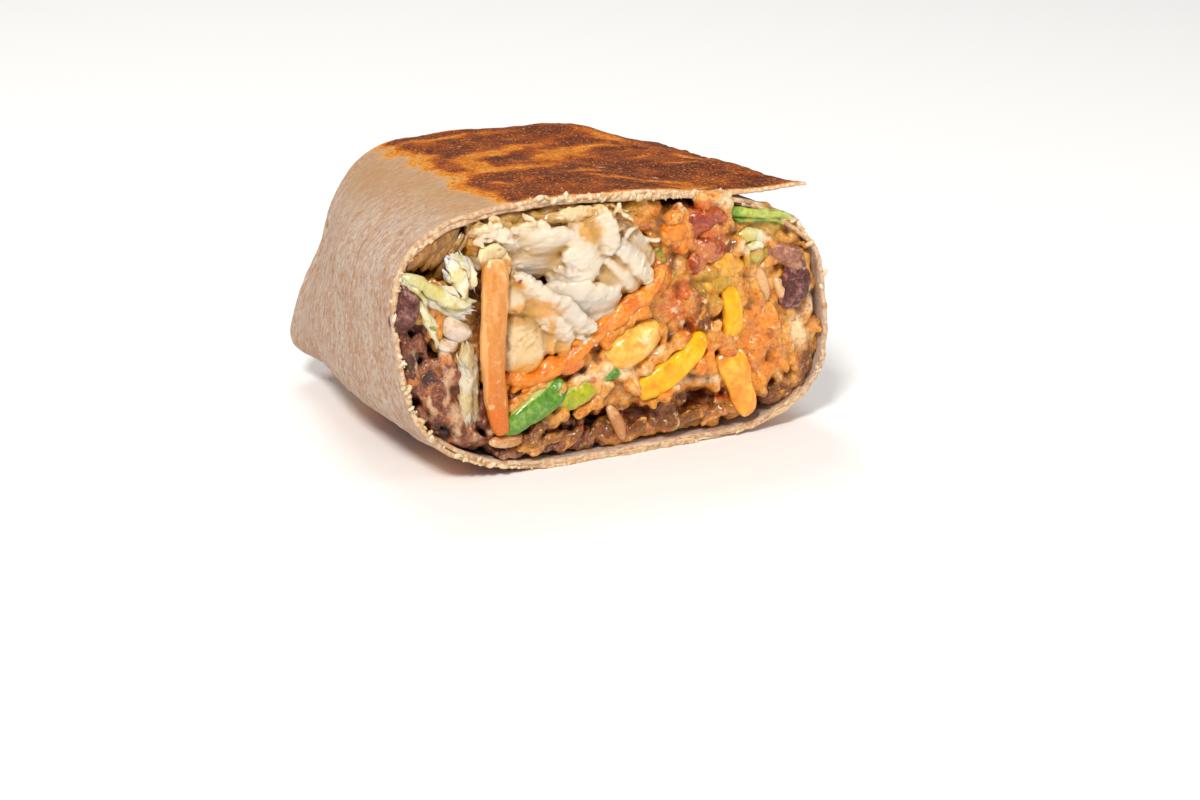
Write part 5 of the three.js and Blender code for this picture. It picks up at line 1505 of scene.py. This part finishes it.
peppers = {
    # node: strips as path, width, thickness, end widths; finish; slot
    "green_pepper_1": ([([(-22.4, -0.2, 8.8), (-18.4, -1.3, 11.2), (-14, -1.3, 13.6), (-8.8, 0, 16.4)], 5.4,
                         2.6, (0.75, 1))],
                       "greenPepper", "green_pepper"),
    "green_pepper_2": ([([(-10.4, -0.2, 12.4), (-6.6, -0.9, 13.8), (-1.6, 0, 15.4)], 4.2, 2.4, (1, 0.8))],
                       "limePepper", "green_leaf"),
    "green_pepper_3": ([([(-3, 0.6, 16.2), (1.2, -0.2, 17), (6.4, 0.6, 18)], 3.2, 2.2, (0.9, 0.8))],
                       "greenPepper", "green_pepper"),
    "yellow_pepper_1": ([([(6.2, 0, 12), (10.4, -1.2, 14.4), (15.4, -1.3, 17.4), (20.8, 0.2, 21.6)], 5.8, 3,
                          (1, 0.75))],
                        "yellowPepper", "yellow_pepper"),
    "yellow_pepper_2": ([([(25.2, 0.4, 31.4), (26, -0.9, 26.8), (26.4, -0.9, 23), (26, 0.2, 19.6)], 4.4, 3,
                          (0.8, 1))],
                        "yellowPepper", "yellow_pepper"),
    "orange_pepper": ([([(25.2, 0, 18), (27, -1.3, 13.6), (28.2, -1.5, 9.4), (30.4, -0.8, 4.6)], 7.4, 2.8,
                        (0.9, 0.62)),
                       ([(23, 0.6, 14.8), (27, -0.6, 13), (32.4, 0.6, 11.6)], 4.6, 2.6, (0.9, 0.8))],
                      "orangePepper", "orange_pepper"),
}
pepperForm = dict(square=2.7, twist=(0.15, -0.2), ruffle=0.25, ruffleSize=5, rough=0.14, roughSize=2.2,
                  hollow=-0.25, columns=48, rows=90)
pepperLooks = {
    "greenPepper": {
        "colours": ("#3c6e0c", "#5a8e16", "#a4c656"), "patchSize": 4, "grainSize": 0.8,
        "masks": [("rim", "#c6cf7a", 0.75), ("sauce", "#e3bd82", 0.8)], "spots": [("#1f4208", 1.6, 0.34)],
        "coat": 0.6, "scatter": 0.25, "scatterColour": (0.5, 0.9, 0.2), "gloss": (0.06, 0.2),
        "bump": ((1.2, 0.12),),
    },
    "limePepper": {
        "colours": ("#86940a", "#b2b212", "#d8c838"), "patchSize": 2.5, "grainSize": 0.8,
        "masks": [("rim", "#e6d98a", 0.7), ("sauce", "#e0a050", 0.7)], "spots": [("#5d8a16", 1.8, 0.42)],
        "coat": 0.45, "scatter": 0.3, "scatterColour": (0.7, 0.9, 0.2), "gloss": (0.1, 0.28),
        "bump": ((1.2, 0.12),),
    },
    "yellowPepper": {
        "colours": ("#f09a08", "#fbb90a", "#fdcf38"), "patchSize": 3.4, "grainSize": 0.9,
        "masks": [("rim", "#f6c23c", 0.55), ("sauce", "#ea8212", 0.8)], "spots": [("#ee8a14", 1.8, 0.36)],
        "specular": 0.3, "coat": 0.3, "scatter": 0.4, "scatterColour": (1, 0.7, 0.15), "gloss": (0.1, 0.26),
        "bump": ((1.3, 0.12),),
    },
    "orangePepper": {
        "colours": ("#ec800c", "#f9a31c", "#fcc448"), "patchSize": 3.2, "grainSize": 0.9,
        "masks": [("rim", "#f9c870", 0.5), ("sauce", "#dd6a24", 0.65)], "spots": [("#dd5f1a", 1.7, 0.36)],
        "coat": 0.45, "scatter": 0.4, "scatterColour": (1, 0.55, 0.15), "gloss": (0.1, 0.28),
        "bump": ((1.3, 0.14),),
    },
}


def makePeppers():
    finishes = finishesOf(pepperLooks)
    for k, (node, (strips, finish, slotName)) in enumerate(peppers.items()):
        parts, middles = [], []
        for j, (path, width, thick, widths) in enumerate(strips):
            blunt = 2.8 if "green" in node else 4  # the green ones have rounder ends
            parts.append(ribbon(path, width, thick, blunt=blunt, widths=widths, seed=301 + 5 * k + j,
                                **pepperForm))
            middles.append(curveThrough(path, 40))
        points, faces = textured(parts, 0.07, 1.2, 321 + k)
        middle = np.concatenate(middles)
        away = np.sqrt(((points[:, None] - middle) ** 2)[..., [0, 2]].sum(-1).min(1))
        rim = smooth((away / (strips[0][1] / 2) - 0.62) / 0.3)
        masks = {"rim": rim,
                 "sauce": 0.8 * smooth((layeredNoise(points, 3.4, 331 + k, 3) - 0.2 + 0.3 * rim) / 0.9)}
        newPiece(node + "_cut", points, faces, finishes[finish], (node,), masks)


chunks = {
    # node: lumps as x, y, z, long, deep, high, turn; finish; slot
    "corn_1": ([(5.4, 0, 22, 12.6, 6.6, 7.6, 0.42)], "corn", "corn"),
    "corn_2": ([(25.2, 0.8, 34.6, 9.4, 6.2, 6.4, -0.6), (22.6, 1, 31.4, 5.6, 4.6, 5.4, 1.2)], "cornSauced",
               "corn"),
    "tomato_1": ([(20.6, 0.2, 44.4, 9.6, 5.4, 4.6, 0.1), (23.8, 0.4, 42.6, 4.6, 4, 5, 1.2),
                  (18, 0.2, 42.8, 4.4, 4, 4, 0.4)],
                 "tomato", "tomato"),
    "tomato_2": ([(21.6, 0.2, 38.4, 7.4, 5.6, 5.6, -0.3), (19, 0.4, 36.2, 5, 4.4, 3.8, 0.9),
                  (23, 0.5, 35.6, 3.4, 3.6, 4, 1.3)],
                 "tomato", "tomato"),
    "tomato_3": ([(14.4, 0.2, 42.8, 5.6, 4.6, 4.6, 0.3), (15.6, 0.6, 39.8, 4, 4, 3.6, 1.1)], "tomatoOrange",
                 "tomato"),
    "avocado_1": ([(31.6, 1.4, 35.6, 5.6, 5, 3.6, 0.3), (34, 1.6, 36.2, 3.6, 3.6, 3, 0.1)], "avocado",
                  "avocado"),
}
chunkForm = dict(lean=0.1, square=2.5, dentSize=0.8, bend=0.2, curve=0.2, taper=0.2, columns=48, rows=36)
chunkLooks = {
    "corn": {
        "colours": ("#f0a030", "#f8bf4e", "#fbdb8a"), "patchSize": 3.6, "grainSize": 1.2,
        "masks": [("sauce", "#e58a2e", 0.6)], "spots": [("#e8962e", 2, 0.36), ("#fbe6b0", 2.8, 0.44)],
        "coat": 0.4, "scatter": 0.5, "scatterColour": (1, 0.75, 0.25), "gloss": (0.12, 0.3),
        "bump": ((1.1, 0.12),),
    },
    "cornSauced": {
        "colours": ("#cf861c", "#e8a62c", "#f2c04c"), "patchSize": 3, "grainSize": 1,
        "masks": [("sauce", "#cf7a34", 0.75)], "spots": [("#c9702a", 1.8, 0.4)], "coat": 0.4, "scatter": 0.35,
        "scatterColour": (1, 0.7, 0.25), "gloss": (0.14, 0.32), "bump": ((1, 0.16),),
    },
    "tomato": {
        "colours": ("#741c06", "#a43e12", "#d07030"), "patchSize": 2.4, "grainSize": 0.7,
        "masks": [("sauce", "#d88a48", 0.6)], "spots": [("#8e2814", 1.6, 0.4), ("#f0c088", 1.3, 0.4)],
        "coat": 0.4, "scatter": 0.35, "scatterColour": (1, 0.35, 0.15), "gloss": (0.14, 0.34),
        "bump": ((0.9, 0.25), (0.4, 0.08)),
    },
    "tomatoOrange": {
        "colours": ("#d8600c", "#ec8410", "#f4a63c"), "patchSize": 2.6, "grainSize": 0.7,
        "masks": [("sauce", "#e08e3a", 0.6)], "spots": [("#c8581e", 1.5, 0.36)], "specular": 0.3,
        "coat": 0.25, "scatter": 0.35, "scatterColour": (1, 0.45, 0.15), "gloss": (0.14, 0.34),
        "bump": ((0.9, 0.2), (0.4, 0.08)),
    },
    "avocado": {
        "colours": ("#8a8020", "#b3a23a", "#d6c878"), "patchSize": 2.6, "grainSize": 0.7,
        "masks": [("sauce", "#c98f44", 0.6)], "spots": [("#6d7a1c", 1.4, 0.38)], "coat": 0.5, "scatter": 0.35,
        "scatterColour": (0.8, 0.8, 0.3), "gloss": (0.2, 0.4), "bump": ((0.9, 0.2),),
    },
}


def makeChunks():
    finishes = finishesOf(chunkLooks)
    for k, (node, (lumps, finish, slotName)) in enumerate(chunks.items()):
        rough = 0.07 if finish == "corn" else 0.22
        parts = []
        for j, (x, y, z, long, deep, high, turn) in enumerate(lumps):
            parts.append(pebble((x, y, z), (long, deep, high), turn, dents=rough * 0.6, seed=341 + 4 * k + j,
                                **chunkForm))
        if len(parts) > 1:
            points, faces, normals = fused(parts, 0.24, 1)
            faces = faces.tolist()
        else:
            points, faces = gathered(parts)
            normals = meshNormals(points, faces)
        points = points + normals * (rough * layeredNoise(points, 1.7, 361 + k, 3))[:, None]
        masks = {"sauce": blotches(points, 2.8, 371 + k, 0.1, layers=3)}
        newPiece(node + "_chunk", points, faces, finishes[finish], (node,), masks)


makePeppers()
makeChunks()

chili = {
    "path": [(-20, 0.8, 17.8), (-14, 0.2, 18.2), (-8, 0, 20.6), (-2.6, -0.1, 24.6), (3.2, 0, 28.2),
             (8.6, 0.2, 31.4), (12.2, 0.6, 35.4)],
    "width": 3, "thick": 3.2, "blobs": 30, "blobSize": (1.4, 3.2),
}


def makeChili():
    random = np.random.default_rng(16)
    line = curveThrough(chili["path"], chili["blobs"])
    parts = [ribbon(chili["path"], chili["width"], chili["thick"], square=2.3, blunt=4, seed=381)]
    for k, spot in enumerate(line):
        size = random.uniform(*chili["blobSize"])
        offset = random.normal(0, (0.5, 0.3, 0.9))
        parts.append(pebble(spot + offset, (size * 1.9, size * 0.9, size * 0.8), random.uniform(0.1, 0.9),
                            dents=0.12, seed=385 + k, columns=14, rows=9))
    points, faces, normals = fused(parts, 0.26, 3)
    points = points + normals * (0.12 * grained(points, 1.5, 391, layers=3))[:, None]
    # the crack mask is painted shade in the hollows between blobs
    masks = {"crackShade": 0.7 * cavities(points), "red": blotches(points, 3, 392, 0.1),
             "pale": blotches(points, 2.2, 393, 0.15)}
    finish = foodFinish("chiliSauce", {
        "colours": ("#d06806", "#e58212", "#f2a63a"), "patchSize": 2.6, "grainSize": 0.7,
        "masks": [("red", "#d8640e", 0.6), ("pale", "#f2b05c", 0.35)], "spots": [("#c4501a", 1.3, 0.35)],
        # the crack colour is painted shade
        "crackShade": "#7a3414", "coat": 0.4, "scatter": 0.3, "scatterColour": (1, 0.5, 0.2),
        "gloss": (0.14, 0.34), "bump": ((0.9, 0.18), (0.4, 0.06)),
    })
    newPiece("chili_sauce_ridge", points, faces.tolist(), finish, ("chili_sauce",), masks)


herbs = {
    # how far out they lie, finish colours, slot; then x, z, long, wide, turn of each
    "green": (-1.3, ("#4c6b12", "#6f9626", "#a4c04a"), "green_leaf", [
              (10.4, 38.8, 1.5, 0.8, 0.9), (11.2, 37.6, 1.2, 0.6, -0.8), (13.6, 34.4, 1.5, 0.5, 1.2),
              (9.8, 39.8, 1, 0.5, 0.1), (-35.4, 30.8, 1.4, 0.8, -0.5), (8.4, 27.6, 0.9, 0.4, 0.5),
              (4.6, 26.2, 0.8, 0.4, -0.4), (22.4, 41, 0.9, 0.4, 1)]),
    "brown": (-1.9, ("#5b2410", "#8a3d1a", "#b0662f"), "chili_sauce", [
              (-9.6, 45.6, 3.4, 0.6, -0.6), (-7.8, 43.9, 1.6, 0.4, 0.4), (-5.9, 44.2, 1.2, 0.5, 1.2),
              (-18.2, 37.4, 1.4, 0.5, 0.2)]),
}
herbForm = dict(thick=0.35, square=2.5, blunt=3, twist=(0.3, -0.3), ruffle=0.2, ruffleSize=1.5, rough=0.05,
                roughSize=0.6, columns=14, rows=16)


def makeHerbs():
    for name, (y, hues, slotName, flecks) in herbs.items():
        parts = []
        for k, (x, z, long, wide, turn) in enumerate(flecks):
            dx, dz = math.cos(turn) * long / 2, math.sin(turn) * long / 2
            path = [(x - dx, y + 0.3, z - dz), (x, y, z + 0.15), (x + dx, y + 0.35, z + dz)]
            parts.append(ribbon(path, wide, seed=401 + k, **herbForm))
        points, faces = gathered(parts)
        finish = foodFinish(name + "Herb", {"colours": hues, "patchSize": 1.2, "grainSize": 0.5, "coat": 0.4,
                                            "gloss": (0.2, 0.4), "bump": ((0.5, 0.08),)})
        newPiece(name + "_herb_flecks", points, faces, finish)


crumbs = {
    # where crumbs cling to the cut rim: first and last angle on the wrap, how many
    "rim": [(0, 0.75, 10), (2.35, 3.5, 70), (3.5, 4.4, 36), (4.4, 6.1, 22)],
    "top": (-16, 27, 110),  # under the front edge of the toasted top: from x, to x, how many
    "spots": [(47.2, 30.2, 1.6), (46.6, 27.6, 1), (-41.6, 32, 1.2), (-42.2, 36.4, 1)],  # x, z, size
    "size": (0.35, 1.5), "form": dict(square=2.2, dents=0.3, dentSize=0.7, columns=9, rows=5),
}


def makeCrumbs():
    random = np.random.default_rng(45)

    def anySize():
        return lerp(*crumbs["size"], random.random() ** 2.2)  # mostly small ones

    places = []
    for first, last, count in crumbs["rim"]:
        for k in range(count):
            spot = skinPoint(0, np.array([random.uniform(first, last)]), random.uniform(0.1, 1.3))[0]
            places.append((spot, anySize()))
    first, last, count = crumbs["top"]
    for k in range(count):
        x = random.uniform(first, last)
        topEdge = sectionAt(0)["height"] + flap["proud"] + flap["slope"] * x - wrap["flatBase"]
        places.append((np.array((x, 0.0, topEdge - random.uniform(0.5, 1.3))), anySize()))
    places += [(np.array((x, 0.2, z)), size) for x, z, size in crumbs["spots"]]
    parts = []
    for k, (spot, size) in enumerate(places):
        spot = spot + (0, random.uniform(-0.25, 0.25), 0)
        shape = (size * random.uniform(1, 1.7), size * 0.9, size * random.uniform(0.6, 0.9))
        turn, lean = random.uniform(0, 3), random.uniform(-0.5, 0.5)
        parts.append(pebble(spot, shape, turn, lean, seed=601 + k, **crumbs["form"]))
    points, faces = gathered(parts)
    finish = foodFinish("tortillaCrumb", {
        "colours": ("#cf9c62", "#e6c79c", "#f6e6ca"), "patchSize": 2.4, "grainSize": 0.5, "coat": 0,
        "scatter": 0.2, "gloss": (0.6, 0.85), "specular": 0.2, "bump": ((0.4, 0.1),),
    })
    newPiece("tortilla_crumbs", points, faces, finish)


makeChili()
makeHerbs()
makeCrumbs()
print("peppers, chunks, sauce and herbs laid in")


lighting = {
    "floor": 3, "sky": 0.4, "aim": (0, 0, 0.02),
    "lamps": [
        ("keyLamp", (-0.5, -0.6, 0.8), 0.22, 9.4, (1, 0.975, 0.94)),
        ("fillLamp", (0.8, -0.75, 0.5), 0.3, 2.4, (1, 0.98, 0.96)),
        ("topLamp", (0.1, 0.6, 0.9), 0.5, 3.4, (1, 0.99, 0.97)),
    ],
}


def makeStage():
    floor = bpy.data.meshes.new("floor")
    side = lighting["floor"]
    corners = [(-side, -side, 0), (side, -side, 0), (side, side, 0), (-side, side, 0)]
    floor.from_pydata(corners, [], [(0, 1, 2, 3)])
    piece = placed("floor", floor)
    pale = Finish("paleFloor", roughness=0.7, specular=0.2)
    pale.colour("#fbfaf9")
    floor.materials.append(pale.material)
    world = bpy.data.worlds.new("softSky")
    bpy.context.scene.world = world
    world.use_nodes = True
    sky = world.node_tree.nodes["Background"].inputs
    sky["Color"].default_value = (1, 1, 1, 1)
    sky["Strength"].default_value = lighting["sky"]
    for name, spot, size, power, warmth in lighting["lamps"]:
        lamp = bpy.data.lights.new(name, "AREA")
        lamp.shape = "DISK"
        lamp.size = size
        lamp.energy = power
        lamp.color = warmth
        holder = placed(name, lamp)
        holder.location = spot
        aim = np.array(lighting["aim"]) - spot
        holder.rotation_euler = Vector(aim).to_track_quat("-Z", "Y").to_euler()


makeStage()


# from the front left, a little above: millimetres, degrees
view = {"place": (-196.6, -383, 157.9), "azimuth": -27, "down": 18.77, "lens": 72.9, "sensor": 36}


def makeCamera():
    camera = bpy.data.cameras.new("camera")
    camera.lens = view["lens"]
    camera.sensor_width = view["sensor"]
    camera.clip_start = 0.01
    holder = placed("camera", camera)
    holder.location = (np.array(view["place"]) + toFrame) * 0.001
    holder.rotation_euler = (math.radians(90 - view["down"]), 0, math.radians(view["azimuth"]))
    bpy.context.scene.camera = holder


makeCamera()
bpy.context.scene.view_settings.view_transform = "Standard"
print("stage set")
